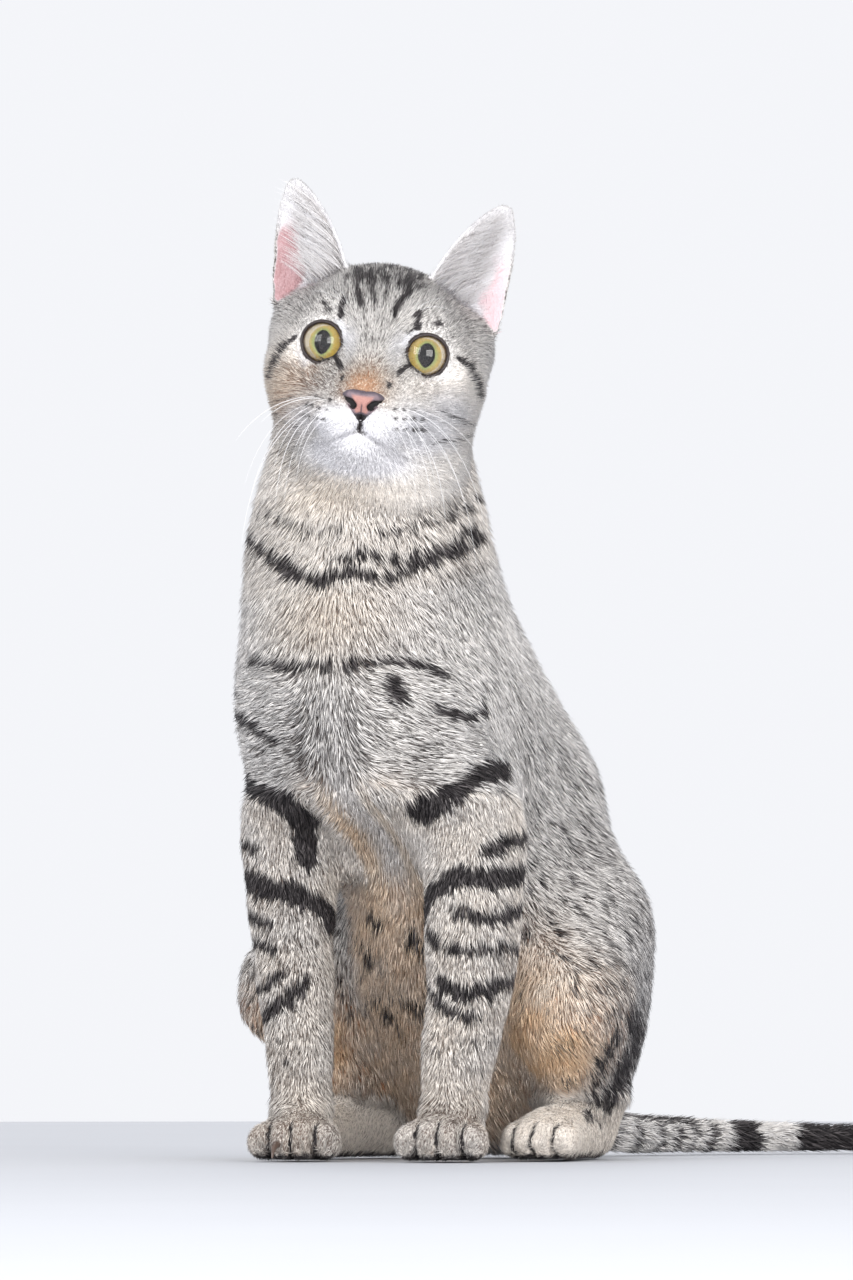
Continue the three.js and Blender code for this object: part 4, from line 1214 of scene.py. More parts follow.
class Finish:
    """A material on one Principled shader, and the few kinds of node that this lesson needs."""

    def __init__(self, name, **constants):
        self.material = bpy.data.materials.new(name)
        self.material.use_nodes = True
        self.tree = self.material.node_tree
        self.shader = self.tree.nodes["Principled BSDF"]
        self.output = self.tree.nodes["Material Output"]
        for key, value in constants.items():
            self.shader.inputs[key.replace("_", " ")].default_value = value

    def node(self, kind, settings=None, sockets=None, out=0):
        made = self.tree.nodes.new(kind)
        for key, value in (settings or {}).items():
            setattr(made, key, value)
        for key, value in (sockets or {}).items():
            if isinstance(value, Wire):
                self.tree.links.new(value.socket, made.inputs[key])
            else:
                made.inputs[key].default_value = value
        return Wire(self, made.outputs[out])

    def blend(self, share, first, second):
        return self.node("ShaderNodeMix", {"data_type": "RGBA"}, {0: share, 6: first, 7: second}, 2)

    def layered(self, colour, *layers):
        """A colour with others laid over it. Each layer is its share and its colour."""
        for share, over in layers:
            colour = self.blend(share, colour, over)
        return colour

    def step(self, value, low, high):
        sockets = {"Value": value, "From Min": low, "From Max": high}
        return self.node("ShaderNodeMapRange", {"interpolation_type": "SMOOTHSTEP"}, sockets)

    def carried(self, name):
        """The three numbers that a piece's points carry under that name."""
        held = self.node("ShaderNodeAttribute", {"attribute_name": name}, out="Color")
        return [self.node("ShaderNodeSeparateColor", {}, {0: held}, out) for out in range(3)]

    def noise(self, scale, detail=2.0, stretch=None):
        place = self.node("ShaderNodeTexCoord", out="Object")
        if stretch:
            place = self.node("ShaderNodeMapping", {}, {"Vector": place, "Scale": stretch})
        return self.node("ShaderNodeTexNoise", {}, {"Vector": place, "Scale": scale, "Detail": detail})

    def drive(self, socket, value):
        self.tree.links.new(value.socket, self.shader.inputs[socket])

    def bump(self, height, depth):
        self.drive("Normal", self.node("ShaderNodeBump", {}, {"Height": height, "Distance": depth}, "Normal"))


print("white as light:", paint(255, 255, 255))

# %% [markdown]
# ## Colours of the coat
# A tabby's ground is ticked: each hair is banded light and dark, so the coat looks peppered. Here each tuft
# carries a tone of its own, and the place along it from root to tip. Together with the masks they choose
# between a light and a dark of each colour. A stripe is dark hair with a few light hairs strewn through it,
# which comes from letting the tone decide how easily a tuft turns dark.

# %% The coat's colours
TICKED = paint(88, 82, 80), paint(255, 251, 247)  # dark and light of the ground
BUFF = paint(136, 114, 98), paint(255, 243, 228)
RUST = paint(216, 150, 102), paint(255, 222, 184)
WHITE = paint(230, 228, 231), paint(252, 251, 253)
STRIPE = paint(38, 35, 37), paint(122, 116, 116)
PINK = paint(158, 110, 110), paint(244, 216, 221)


def coat_colours(finish, tone, along, second):
    """The coat's colour from the masks, a tone and a second random number, and the place along a hair."""
    dark, warm, pale = finish.carried("marks")
    orange, bare, shade = finish.carried("tints")
    band = finish.node("ShaderNodeMath", {"operation": "SINE"}, {0: along * 7 + second * 6.28})
    tick = finish.step(tone * 0.95 + along * 0.22 + band * 0.16 + shade - 0.55, 0.0, 0.86)
    # the pink is paler where the shade is high, and that includes the painted light in the left ear
    pink = finish.step(shade + (second - 0.5) * 0.3, 0.1, 1.0)
    return finish.layered(
        finish.blend(tick, *TICKED),
        (warm, finish.blend(tick, *BUFF)),
        (orange, finish.blend(tick, *RUST)),
        (finish.step(pale, 0.05, 0.85), finish.blend(tone, *WHITE)),
        (finish.step(bare, 0.1, 0.8), finish.blend(pink, *PINK)),
        (finish.step(dark + (second - 0.5) * 0.5, 0.28, 0.64), finish.blend(tone**2, *STRIPE)),
    )


def tuft_finish():
    finish = Finish("coat_hair", Roughness=0.62, Specular_IOR_Level=0.25)
    tone, along, second = finish.carried("lock")
    finish.drive("Base Color", coat_colours(finish, tone, along, second))
    return finish.material


def skin_finish():
    finish = Finish("coat_skin", Roughness=0.75, Specular_IOR_Level=0.2)
    tone = finish.step(finish.noise(900, 2), 0.3, 0.7)
    second = finish.step(finish.noise(1500, 1), 0.3, 0.7)
    finish.drive("Base Color", coat_colours(finish, tone * 0.3 + 0.25, tone * 0.1 + 0.3, second * 0.4 + 0.3))
    finish.bump(finish.noise(1400, 3, (1, 1, 0.35)), 0.0006)
    return finish.material


hair_material, skin_material = tuft_finish(), skin_finish()
print("nodes in the hair's finish:", len(hair_material.node_tree.nodes))

# %% [markdown]
# ## The coat
# The hair is real mesh, because then its outline, its shadows and its exported shape are all true. A tuft
# is the smallest closed shape that still looks like a lock: short fur is a four-sided sliver, widest at the
# root, and long fur is a six-sided spindle with a bend in it, so that it wraps round the body. Roots are
# strewn evenly over the skin's area, denser where the hair is fine. Each tuft takes its colours from the
# skin beneath its middle, since the half beyond that is the one that shows.

# %% Where the hair grows, and how long
nose_away = np.linalg.norm(face_points - NOSE_TIP, axis=1)
length, width, lift, density = (look(key, 10) for key in ("length", "width", "lift", "density"))
short = on("head", "muzzle", "nose", "eye", rounds=6)
length *= 1 - short * 0.48 * smooth(46, 8, nose_away)
width *= 1 - short * 0.25 * smooth(40, 8, nose_away)
near_lid = smooth(9, 2, lid_gap)
length *= 1 - 0.5 * near_lid
lift *= (1 - 0.5 * near_lid) * (1 - 0.6 * in_ear)
cheek_ruff = smooth(24, 36, np.abs(fx)) * smooth(0, -14, fz)
jaw_ruff = smooth(-38, -46, fz) * smooth(-24, -8, fy)
length *= 1 + 0.55 * np.clip(on_face * (cheek_ruff + jaw_ruff), 0, 1)
soft_belly = np.clip(most(knees, belly, inner_thigh), 0, 1)
length *= 1 + 0.3 * soft_belly
lift *= 1 + 0.3 * soft_belly
depth = look("depth", 30)
NOSE_BARE = [  # a little outside the leather's own outline
    (-8.4, -18.2), (0, -16.4), (8.4, -18.2), (5.6, -22.6), (1.2, -27.4), (-1.2, -27.4), (-5.6, -22.6),
]
bald = most(
    eye_rim,
    in_outline(fx, fz, NOSE_BARE) * (fy < -18),
    smooth(2.2, 1.2, z) * smooth(-0.5, -0.85, normals[:, 2]),
    0.96 * smooth(0.3, 0.7, bare),
)
density *= 1 - bald
print("longest and shortest hair:", length.max().round(1), length.min().round(1), "mm")

# %% Strew the roots
TUFT_FACES = 1_450_000  # about how many triangles all the tufts have together
SLIVER_FACES, SPINDLE_FACES = 4, 6
SLIVER_PARTS = ("head", "muzzle", "nose", "eye", "ear", "forepaw", "hind_foot")
draw = np.random.default_rng(7)
first, next_one, last = (points[triangles[:, k]] for k in range(3))
areas = np.linalg.norm(np.cross(next_one - first, last - first), axis=1) / 2
wanted = areas * density[triangles].mean(1)
sliver_face = are_on(part_at[triangles[:, 0]], SLIVER_PARTS)
faces_wanted = (wanted * np.where(sliver_face, SLIVER_FACES, SPINDLE_FACES)).sum()
wanted *= TUFT_FACES / faces_wanted
count = int(wanted.sum())
reach = np.cumsum(wanted)
picks = (np.arange(count) + draw.random(count)) / count * reach[-1]
chosen = np.searchsorted(reach, picks).clip(0, len(wanted) - 1)
corner_share = draw.dirichlet((1, 1, 1), count)
print("tufts:", count, "on", round(areas.sum()), "square mm of skin")


def at_roots(values):
    """What the skin's points carry, at the roots."""
    return np.einsum("rk,rk...->r...", corner_share, values[triangles[chosen]])


# %% The shape of every tuft
root, root_normal = at_roots(points), unit(at_roots(normals))
root_part = part_at[triangles[chosen, 0]]
is_sliver = sliver_face[chosen]
turn = draw.normal(0, math.radians(7), count)
root_lie = flat_on(at_roots(lie), root_normal)
root_lie = root_lie * np.cos(turn)[:, None] + np.cross(root_normal, root_lie) * np.sin(turn)[:, None]
root_length = at_roots(length) * draw.uniform(0.72, 1.22, count)
root_width = at_roots(width) * draw.uniform(0.75, 1.25, count)
root_lift = np.radians(at_roots(lift)) * draw.uniform(0.55, 1.3, count)
root_depth = at_roots(depth)

skin_tree = KDTree(len(points))
for index, point in enumerate(points):
    skin_tree.insert(point, index)
skin_tree.balance()


def skin_under(places):
    """The skin's nearest point to each place, by its index."""
    return np.array([skin_tree.find(place)[1] for place in places])


def over_skin(places, height):
    """Places moved to that height over the skin beneath them."""
    below = skin_under(places)
    rise = ((places - points[below]) * normals[below]).sum(1)
    return places + normals[below] * (height - rise)[:, None]


ahead = root + root_lie * (root_length * 0.9)[:, None]
tip_height = np.minimum(root_length * np.sin(root_lift), root_depth * draw.uniform(0.7, 1.25, count) + 0.2)
tip = over_skin(ahead, tip_height)
middle_skin = skin_under(root + root_lie * (root_length * 0.5)[:, None])
print("mean height of the tips over the skin:", tip_height.mean().round(2), "mm")

# %% Slivers and spindles
BURIED = 0.35  # how far a root is sunk in the skin, in mm
WIDEST = 0.36  # how far along a spindle is widest


def tuft_parts(which):
    """A tuft's sunken root, the steps from its middle to its side and its top, and its tip."""
    base = root[which] - root_normal[which] * BURIED
    along = unit(tip[which] - base)
    across = unit(np.cross(root_normal[which], along))
    half = across * (root_width[which] / 2)[:, None]
    top = np.cross(along, across) * (root_width[which] * 0.4)[:, None]
    return base, half, top, tip[which]


def sliver_points(which):
    """Left, right and top at the root, then the tip."""
    base, half, top, end = tuft_parts(which)
    return np.stack([base - half, base + half, base + top, end], 1)


def spindle_points(which):
    """Root, then left, right and top where it is widest, then the tip."""
    base, half, top, end = tuft_parts(which)
    rise = root_length[which] * WIDEST * np.sin(root_lift[which] * 1.25)
    bend = root[which] + root_lie[which] * (root_length[which] * WIDEST)[:, None]
    bend = bend + root_normal[which] * (np.minimum(rise, tip_height[which] * 0.8))[:, None]
    return np.stack([base, bend - half, bend + half, bend + top, end], 1)


# each shape's points and faces, then how far along the tuft and where on its patch of the map each point is
TUFT_SHAPES = {
    "sliver": (
        sliver_points,
        np.array([(0, 2, 1), (0, 1, 3), (1, 2, 3), (2, 0, 3)]),
        np.array([0.1, 0.1, 0.2, 1.0]),
        np.array([(0, 0), (1, 0), (0.5, 0.2), (0.5, 1)]),
    ),
    "spindle": (
        spindle_points,
        np.array([(0, 1, 3), (0, 3, 2), (0, 2, 1), (4, 3, 1), (4, 2, 3), (4, 1, 2)]),
        np.array([0.0, 0.4, 0.4, 0.45, 1.0]),
        np.array([(0.5, 0), (0, 0.4), (1, 0.4), (0.5, 0.45), (0.5, 1)]),
    ),
}


def of_shape(shape, mine):
    """Those of some tufts that have that shape."""
    return mine[is_sliver[mine] == (shape == "sliver")]


def volume_sign(corners, faces):
    """Above zero where a closed shape's faces point outwards."""
    a, b, c = (corners[0][faces[:, k]] for k in range(3))
    return np.sign((np.cross(a, b) * c).sum())


for shape, (shape_points, faces, *_) in TUFT_SHAPES.items():
    trial = shape_points(of_shape(shape, np.arange(count))[:1])
    print(shape, "faces point outwards:", volume_sign(trial - trial.mean(1, keepdims=True), faces) > 0)

# %% [markdown]
# ## The skin that is kept, and a chart of it
# Under the coat the full mesh is not needed, so the skin is thinned evenly, apart from the face. A second,
# much coarser copy is unwrapped region by region. It serves as a chart: each tuft looks up the place of its
# root there, so that the coat's own texture map follows the skin and not a view of it.

# %% Store the masks and thin the skin
SKIN_SHARE = 0.30  # the part of the faces that the thinning keeps
CHART_SHARE = 0.045
FACE_SHARE = 0.25  # how strongly the thinning spares the face
store(skin.data, "marks", MASKS[:, :3])
store(skin.data, "tints", MASKS[:, 3:])
spared = skin.vertex_groups.new(name="spared")
face_weight = np.clip(smooth(-4, -16, fy) * on_face + crease, 0, 1)
for level in range(1, 11):
    members = np.flatnonzero(np.round(face_weight * 10) == level)
    if len(members):
        spared.add(members.tolist(), level / 10, "REPLACE")
chart = skin.copy()
chart.data = skin.data.copy()
chart.name = "chart"
bpy.context.scene.collection.objects.link(chart)
apply(chart, "DECIMATE", ratio=CHART_SHARE)
sparing = dict(vertex_group="spared", invert_vertex_group=True, vertex_group_factor=FACE_SHARE)
apply(skin, "DECIMATE", ratio=SKIN_SHARE, **sparing)
skin.vertex_groups.clear()
dress(skin, skin_material)
print("faces of the skin:", len(skin.data.polygons), "and of the chart:", len(chart.data.polygons))

# %% Unwrap the chart, region by region
REGIONS = {
    "face": ("head", "muzzle", "nose", "eye"),
    "ears": ("ear",),
    "neck": ("neck",),
    "trunk": ("trunk",),
    "forelegs": ("foreleg", "forepaw"),
    "haunches": ("thigh", "hind_foot"),
    "tail": ("tail",),
}
chart_points = to_cat(points_of(chart.data))
chart_part = part_at[skin_under(chart_points)]


def unwrap_region(parts):
    """The triangles of that part of the chart, their corners, and the place of each corner on the map."""
    corners = triangles_of(chart.data)
    keep = are_on(chart_part[corners[:, 0]], parts)
    used, flat = np.unique(corners[keep], return_inverse=True)
    sheet = new_piece("sheet", chart_points[used], flat.reshape(-1, 3))
    edit_all(sheet, bpy.ops.uv.smart_project, angle_limit=math.radians(66), island_margin=0.004)
    places = np.empty(len(sheet.data.loops) * 2, np.float32)
    sheet.data.uv_layers.active.data.foreach_get("uv", places)
    order = np.empty(len(sheet.data.loops), np.int32)
    sheet.data.loops.foreach_get("vertex_index", order)
    result = chart_points[used], order.reshape(-1, 3), places.reshape(-1, 3, 2)
    bpy.data.objects.remove(sheet)
    return result


def map_places(at, region):
    """Where each root falls on the region's map."""
    sheet_points, sheet_triangles, places = region
    tree = BVHTree.FromPolygons(sheet_points.tolist(), sheet_triangles.tolist())
    found = [tree.find_nearest(place) for place in at]
    where, index = np.array([hit[0] for hit in found]), np.array([hit[2] for hit in found])
    a, b, c = (sheet_points[sheet_triangles[index, k]] for k in range(3))
    area = np.cross(b - a, c - a)
    size = np.maximum((area * area).sum(1), 1e-12)
    share_b = (np.cross(where - a, c - a) * area).sum(1) / size
    share_c = (np.cross(b - a, where - a) * area).sum(1) / size
    shares = np.stack([1 - share_b - share_c, share_b, share_c], 1)
    return np.einsum("rk,rkc->rc", shares, places[index])


region_maps = {name: unwrap_region(parts) for name, parts in REGIONS.items()}
bpy.data.objects.remove(chart)
print("regions unwrapped:", {name: len(found[1]) for name, found in region_maps.items()})

# %% Build the pieces of the coat
MOST_FACES = 190_000
PATCH = 0.0028  # the size of a tuft's patch on its map
MAP_EDGES = 0.001, 0.999
FLOOR_CLEAR = 0.25  # the coat stays this far over the floor, in mm
tone, second = draw.beta(1.5, 1.35, count), draw.random(count)
strand_masks = MASKS[middle_skin]
coat = []


def coat_piece(name, region, mine):
    """One closed mesh of many tufts, with their colours and the map that follows the skin."""
    corner_sets, face_sets, place_sets, start = [], [], [], 0
    tables = {"marks": [], "tints": [], "lock": []}
    for shape, (shape_points, faces, along, on_patch) in TUFT_SHAPES.items():
        which = of_shape(shape, mine)
        if not len(which):
            continue
        corners = shape_points(which)
        per = corners.shape[1]
        corners[:, :, 2] = np.maximum(corners[:, :, 2], FLOOR_CLEAR)
        corner_sets.append(corners.reshape(-1, 3))
        face_sets.append((faces[None] + (np.arange(len(which)) * per)[:, None, None] + start).reshape(-1, 3))
        start += per * len(which)
        masks = np.repeat(strand_masks[which], per, 0)
        tones, seconds = np.repeat(tone[which], per), np.repeat(second[which], per)
        tables["marks"].append(masks[:, :3])
        tables["tints"].append(masks[:, 3:])
        tables["lock"].append(np.column_stack([tones, np.tile(along, len(which)), seconds]))
        middle = map_places(root[which], region)[:, None]
        patch = (middle + (on_patch - 0.5) * PATCH).clip(*MAP_EDGES)
        place_sets.append(patch[:, faces.ravel()].reshape(-1, 2))
    piece = new_piece(name, np.concatenate(corner_sets), np.concatenate(face_sets))
    for key, values in tables.items():
        store(piece.data, key, np.concatenate(values))
    add_map(piece.data, np.concatenate(place_sets))
    dress(piece, hair_material)
    return piece


for region_name, parts in REGIONS.items():
    mine = np.flatnonzero(are_on(root_part, parts))
    faces_here = np.where(is_sliver[mine], SLIVER_FACES, SPINDLE_FACES)
    pieces_here = max(1, math.ceil(faces_here.sum() / MOST_FACES))
    mine = mine[np.argsort(root[mine, 0] + 0.4 * root[mine, 1], kind="stable")]
    for number, share in enumerate(np.array_split(mine, pieces_here), 1):
        coat.append(coat_piece(f"coat_{region_name}_{number}", region_maps[region_name], share))
        print(coat[-1].name, len(coat[-1].data.polygons), "faces")

# %% [markdown]
# ## The eyes
# A cat's iris is a flat ring that lies some 3 mm behind the clear dome of the cornea, and the pupil is a
# hole in it. All of that depth can be seen from the side, so it is modelled: an eyeball whose front is
# folded in, and a separate clear dome over it. Both start as a sphere and have their rings moved to a new
# profile. The iris gets its fibres from noise that is drawn out along the rings.

# %% Eyeball profile
RINGS, SPOKES = 48, 72
SPHERE = dict(segments=SPOKES, ring_count=RINGS)
IRIS_ANGLE = math.radians(51.5)  # where the iris meets the white, seen from the eye's centre
IRIS_EDGE = EYE_RADIUS * math.sin(IRIS_ANGLE)
IRIS_PLANE = EYE_RADIUS * math.cos(IRIS_ANGLE)
PUPIL_HALF = 3.1, 4.55  # across and upright
PUPIL_DEEP = 4.6
# the first rings line the pupil: their share of its radius, and their height from the iris
PUPIL_WALL = (0, -PUPIL_DEEP), (0.92, -PUPIL_DEEP), (1.0, -0.2)
FIRST_IRIS_RING, LAST_IRIS_RING = 3, 16


def pupil_edge(around):
    """The pupil's edge: rounded above, drawn to a point below."""
    across, upright = np.abs(np.cos(around)) / PUPIL_HALF[0], np.abs(np.sin(around)) / PUPIL_HALF[1]
    power = 2.05 - 0.45 * smooth(0, -0.8, np.sin(around))
    return (across**power + upright**power) ** (-1 / power)


def ring_and_spoke(piece, rings):
    """Which ring from the front pole and what direction around the axis each point of a sphere has."""
    at = points_of(piece.data)
    off = np.arccos(np.clip(at[:, 2] / np.linalg.norm(at, axis=1), -1, 1))
    return np.round(off / (math.pi / rings)).astype(int), np.arctan2(at[:, 1], at[:, 0])


def outwards(piece):
    """Turns all faces of a closed mesh outwards."""
    edit_all(piece, bpy.ops.mesh.normals_make_consistent, inside=False)


def settle(piece, head_points, material):
    """Gives a reshaped primitive its points, written in the head's frame, and its finish."""
    piece.location = (0, 0, 0)
    set_points(piece.data, from_cat(from_head(head_points)))
    outwards(piece)
    dress(piece, material)


def eyeball(side, material):
    ball = primitive(f"eyeball_{side}", bpy.ops.mesh.primitive_uv_sphere_add, **SPHERE)
    ring, around = ring_and_spoke(ball, RINGS)
    edge = pupil_edge(around)
    share = np.clip((ring - FIRST_IRIS_RING) / (LAST_IRIS_RING - FIRST_IRIS_RING), 0, 1)
    radius = edge + (IRIS_EDGE - edge) * share
    fibres = 0.05 * np.sin(around * 24 + 3 * share) * np.sin(math.pi * share)
    height = IRIS_PLANE + 0.45 * np.sin(math.pi * np.clip(share * 0.9 + 0.1, 0, 1)) + fibres
    past_iris = np.clip((ring - LAST_IRIS_RING) / (RINGS - LAST_IRIS_RING), 0, 1)
    behind = IRIS_ANGLE + (math.pi - IRIS_ANGLE) * past_iris
    white = ring > LAST_IRIS_RING
    radius = np.where(white, EYE_RADIUS * np.sin(behind), radius)
    height = np.where(white, EYE_RADIUS * np.cos(behind), height)
    wall = ring < FIRST_IRIS_RING
    wall_radius, wall_height = np.array(PUPIL_WALL)[np.minimum(ring, FIRST_IRIS_RING - 1)].T
    radius = np.where(wall, edge * wall_radius, radius)
    height = np.where(wall, IRIS_PLANE + wall_height, height)
    settle(ball, in_eye(side, radius, height, around), material)
    place = np.where(wall, -1.0, share + white)
    store(ball.data, "iris", np.column_stack([place, np.cos(around), np.sin(around)]))
    return ball


def iris_finish():
    finish = Finish("iris", Roughness=0.32, Specular_IOR_Level=0.4)
    place, across, upright = finish.carried("iris")
    spread = finish.node("ShaderNodeCombineXYZ", {}, {0: across * 15, 1: upright * 15, 2: place * 1.3})
    fibre = finish.node("ShaderNodeTexNoise", {}, {"Vector": spread, "Scale": 1.0, "Detail": 3.0})
    cloud = finish.node("ShaderNodeTexNoise", {}, {"Vector": spread, "Scale": 0.16, "Detail": 1.0})
    colour = finish.layered(
        paint(140, 154, 94),
        (finish.step(place + cloud * 0.3, 0.18, 0.6), paint(178, 150, 62)),
        (finish.step(place + cloud * 0.25, 0.75, 1.08), paint(160, 108, 48)),
        (finish.step(fibre, 0.4, 0.75) * 0.5, paint(112, 92, 48)),
        (finish.step(place, 0.1, 0.0), paint(86, 84, 52)),
        (finish.step(place, 0.87, 0.95), paint(36, 25, 22)),
        (finish.step(place, -0.05, -0.5), paint(6, 7, 10)),
    )
    finish.drive("Base Color", colour)
    finish.bump(fibre, 0.0002)
    return finish.material


iris_material = iris_finish()
eyeballs = {side: eyeball(side, iris_material) for side in SIDES}
print("eyeballs:", {side: len(ball.data.polygons) for side, ball in eyeballs.items()})

# %% [markdown]
# The cornea is clear. A refracting shell would hide the iris from a game engine or a printer's preview, so
# it is a blend of see-through and mirror that gets stronger at the edge, as on any wet surface.

# %% Cornea
CORNEA_BULGE = 1.0
CORNEA_THICK = 0.25
CORNEA_ANGLE = IRIS_ANGLE + math.radians(5)


def cornea(side, material):
    dome = primitive(f"cornea_{side}", bpy.ops.mesh.primitive_uv_sphere_add, **SPHERE)
    ring, around = ring_and_spoke(dome, RINGS)
    outer = ring <= RINGS // 2
    share = np.where(outer, ring, RINGS - ring) / (RINGS // 2)
    off = CORNEA_ANGLE * share
    out = EYE_RADIUS + 0.12 + CORNEA_BULGE * np.cos(off / CORNEA_ANGLE * math.pi / 2) ** 1.4
    out = np.where(outer, out, out - CORNEA_THICK)
    settle(dome, in_eye(side, out * np.sin(off), out * np.cos(off), around), material)
    return dome


def cornea_finish():
    finish = Finish("cornea")
    tree = finish.tree
    tree.nodes.remove(finish.shader)
    glossy = finish.node("ShaderNodeBsdfGlossy", {}, {"Color": (1, 1, 1, 1), "Roughness": 0.03})
    clear = finish.node("ShaderNodeBsdfTransparent", {}, {"Color": (1, 1, 1, 1)})
    edge = finish.node("ShaderNodeFresnel", {}, {"IOR": 1.38})
    mixed = finish.node("ShaderNodeMixShader", {}, {0: edge * 0.6 + 0.008, 1: clear, 2: glossy})
    tree.links.new(mixed.socket, finish.output.inputs["Surface"])
    return finish.material


cornea_material = cornea_finish()
corneas = {side: cornea(side, cornea_material) for side in SIDES}
print("corneas stand", CORNEA_BULGE, "mm proud of the eyeballs")

# %% [markdown]
# ## Rims of the lids
# Dark wet skin edges each eye, thickest at the corner by the nose. It is a ring that lies on the eyeball
# and follows the opening, so it starts as a torus and is laid along the opening's own formula.

# %% Lid rims
RIM_ACROSS, RIM_THICK = math.radians(2.9), 0.55


def lid_rim(side, material):
    torus = dict(major_segments=96, minor_segments=12, major_radius=1, minor_radius=0.3)
    rim = primitive(f"lid_rim_{side}", bpy.ops.mesh.primitive_torus_add, **torus)
    at = points_of(rim.data)
    around = np.arctan2(at[:, 1], at[:, 0])
    turn = np.arctan2(at[:, 2], np.hypot(at[:, 0], at[:, 1]) - 1)
    inner = near_turn(around, INNER_CORNER, 0.4)
    across = RIM_ACROSS * (1 + 0.45 * inner + 0.25 * np.clip(np.sin(around), 0, 1))
    off = lid_angle(around) - math.radians(0.6) + across * np.cos(turn)
    out = EYE_RADIUS + 0.55 + RIM_THICK * np.sin(turn) * np.where(turn > 0, 1, 1.6)
    settle(rim, in_eye(side, out * np.sin(off), out * np.cos(off), around), material)
    return rim


def rim_finish():
    finish = Finish("lid_rim", Specular_IOR_Level=0.5)
    mottle = finish.noise(900, 3)
    finish.drive("Base Color", finish.blend(mottle, paint(26, 19, 20), paint(56, 42, 41)))
    finish.drive("Roughness", mottle * 0.25 + 0.22)
    finish.bump(finish.noise(2400, 2), 0.0001)
    return finish.material


rim_material = rim_finish()
lid_rims = {side: lid_rim(side, rim_material) for side in SIDES}
print("lid rims:", len(lid_rims))

# %% [markdown]
# ## The nose leather
# Bare cobbled skin, pink in the middle and dark at its edges. It starts as a grid that is narrowed row by
# row to the outline of the nose, laid on the skin from the front, and lifted a little. The nostrils are two
# commas pressed into it, and a solidify modifier gives it a back.

# %% Nose leather
NOSE_ROWS = [  # height in the head's frame, and half the width there
    (-16.3, 4.4), (-17.0, 6.9), (-18.2, 8.2), (-19.6, 8.3), (-21, 7.4),
    (-22.6, 5.6), (-24.2, 3.9), (-26, 2.4), (-28, 1.2), (-30.6, 0.6),
]
NOSE_RAISED = 0.75
NOSTRIL = [(3.3, -22.3), (4.3, -21.3), (5.8, -20.7), (7.8, -19.5)]
NOSTRIL_DEEP = 2.0


def on_face_at(u, v):
    """The points of the face that show at those places from the front, in the head's frame."""
    hits = [FACE_TREE.ray_cast((a, -80, b), (0, 1, 0))[0] for a, b in zip(u, v)]
    return np.stack([u, [hit[1] for hit in hits], v], 1)


def nose_leather(material):
    squares = dict(x_subdivisions=72, y_subdivisions=84, size=2)
    nose = primitive("nose_leather", bpy.ops.mesh.primitive_grid_add, **squares)
    grid = points_of(nose.data)
    heights, halves = np.array(NOSE_ROWS).T
    v = heights[0] + (heights[-1] - heights[0]) * (1 - grid[:, 1]) / 2
    half = np.interp(-v, -heights, halves)
    u = grid[:, 0] * half
    to_side = np.minimum(half - np.abs(u), 3) + 0.15
    to_top = heights[0] + 0.3 - v + 0.15 * np.abs(u)
    rounded = smooth(0, 1.5, np.minimum(to_side * 1.3, to_top * 0.8))
    slit = from_line(np.abs(u), v, NOSTRIL)
    slit_half = 1.5 - 0.9 * smooth(4.2, 7.6, np.abs(u))
    pit = smooth(slit_half + 0.35, slit_half - 0.45, np.abs(slit))
    wing = np.exp(-(((np.abs(u) - 5.2) / 2.2) ** 2 + ((v + 18.4) / 1.5) ** 2))
    septum = np.exp(-((u / 1.5) ** 2)) * smooth(-19, -21.5, v)
    groove = np.exp(-((u / 0.42) ** 2)) * smooth(-20.5, -22.5, v)
    rise = (NOSE_RAISED + 0.5) * rounded - 0.5
    rise += 0.45 * wing + 0.25 * septum - 0.55 * groove - NOSTRIL_DEEP * pit
    rise -= 0.7 * smooth(-25, -29, v) * rounded
    settle(nose, on_face_at(u, v) - rise[:, None] * (0, 1, 0), material)
    edge = smooth(3.4, 0.9, np.minimum(to_side * 0.95, to_top * 0.95)) * smooth(-24, -19, v)
    below = smooth(-23.4, -25.4, v + 0.25 * np.abs(u))
    wings = np.maximum(smooth(3.2, 4.6, np.abs(u) - 0.3 * (v + 19)), smooth(-19.2, -17.8, v))
    dark_skin = np.clip(np.maximum(np.maximum(edge * 0.85, below), groove * 0.7), 0, 1)
    store(nose.data, "leather", np.column_stack([dark_skin, pit, wings]))
    apply(nose, "SOLIDIFY", thickness=1.1 * MM, offset=-1, use_even_offset=False)
    outwards(nose)
    return nose


def leather_finish():
    finish = Finish("nose_leather", Specular_IOR_Level=0.5)
    dark_skin, pit, wings = finish.carried("leather")
    place = finish.node("ShaderNodeTexCoord", out="Object")
    cobble = finish.node("ShaderNodeTexVoronoi", {"feature": "SMOOTH_F1"}, {"Vector": place, "Scale": 2300.0})
    mottle = finish.noise(700, 3)
    colour = finish.layered(
        finish.blend(mottle, paint(178, 128, 120), paint(204, 152, 142)),
        (wings * 0.95, paint(132, 116, 124)),
        (finish.step(dark_skin + (mottle - 0.5) * 0.4, 0.15, 0.85), paint(86, 76, 86)),
        (finish.step(dark_skin, 0.86, 1.0), paint(30, 25, 28)),
        # painted shade: the nostrils' pits are near black
        (finish.step(pit, 0.25, 0.8), paint(16, 11, 12)),
    )
    finish.drive("Base Color", colour)
    finish.drive("Roughness", cobble * 0.3 + 0.34)
    finish.bump(cobble, 0.00022)
    return finish.material


leather_material = leather_finish()
nose_piece = nose_leather(leather_material)
print("nose leather:", len(nose_piece.data.polygons), "faces")

# %% [markdown]
# ## Whiskers and the long hairs of the ears
# A whisker is a stiff tapering hair that droops under its own weight. Each is a closed tube along a short
# curve: its direction starts outwards and turns down along its length. The soft white hairs that cross the
# hollow of each ear are the same tube with fewer sides.

# %% Tapered tubes
TAPER = 0.82  # how much of its thickness a hair loses up to its tip


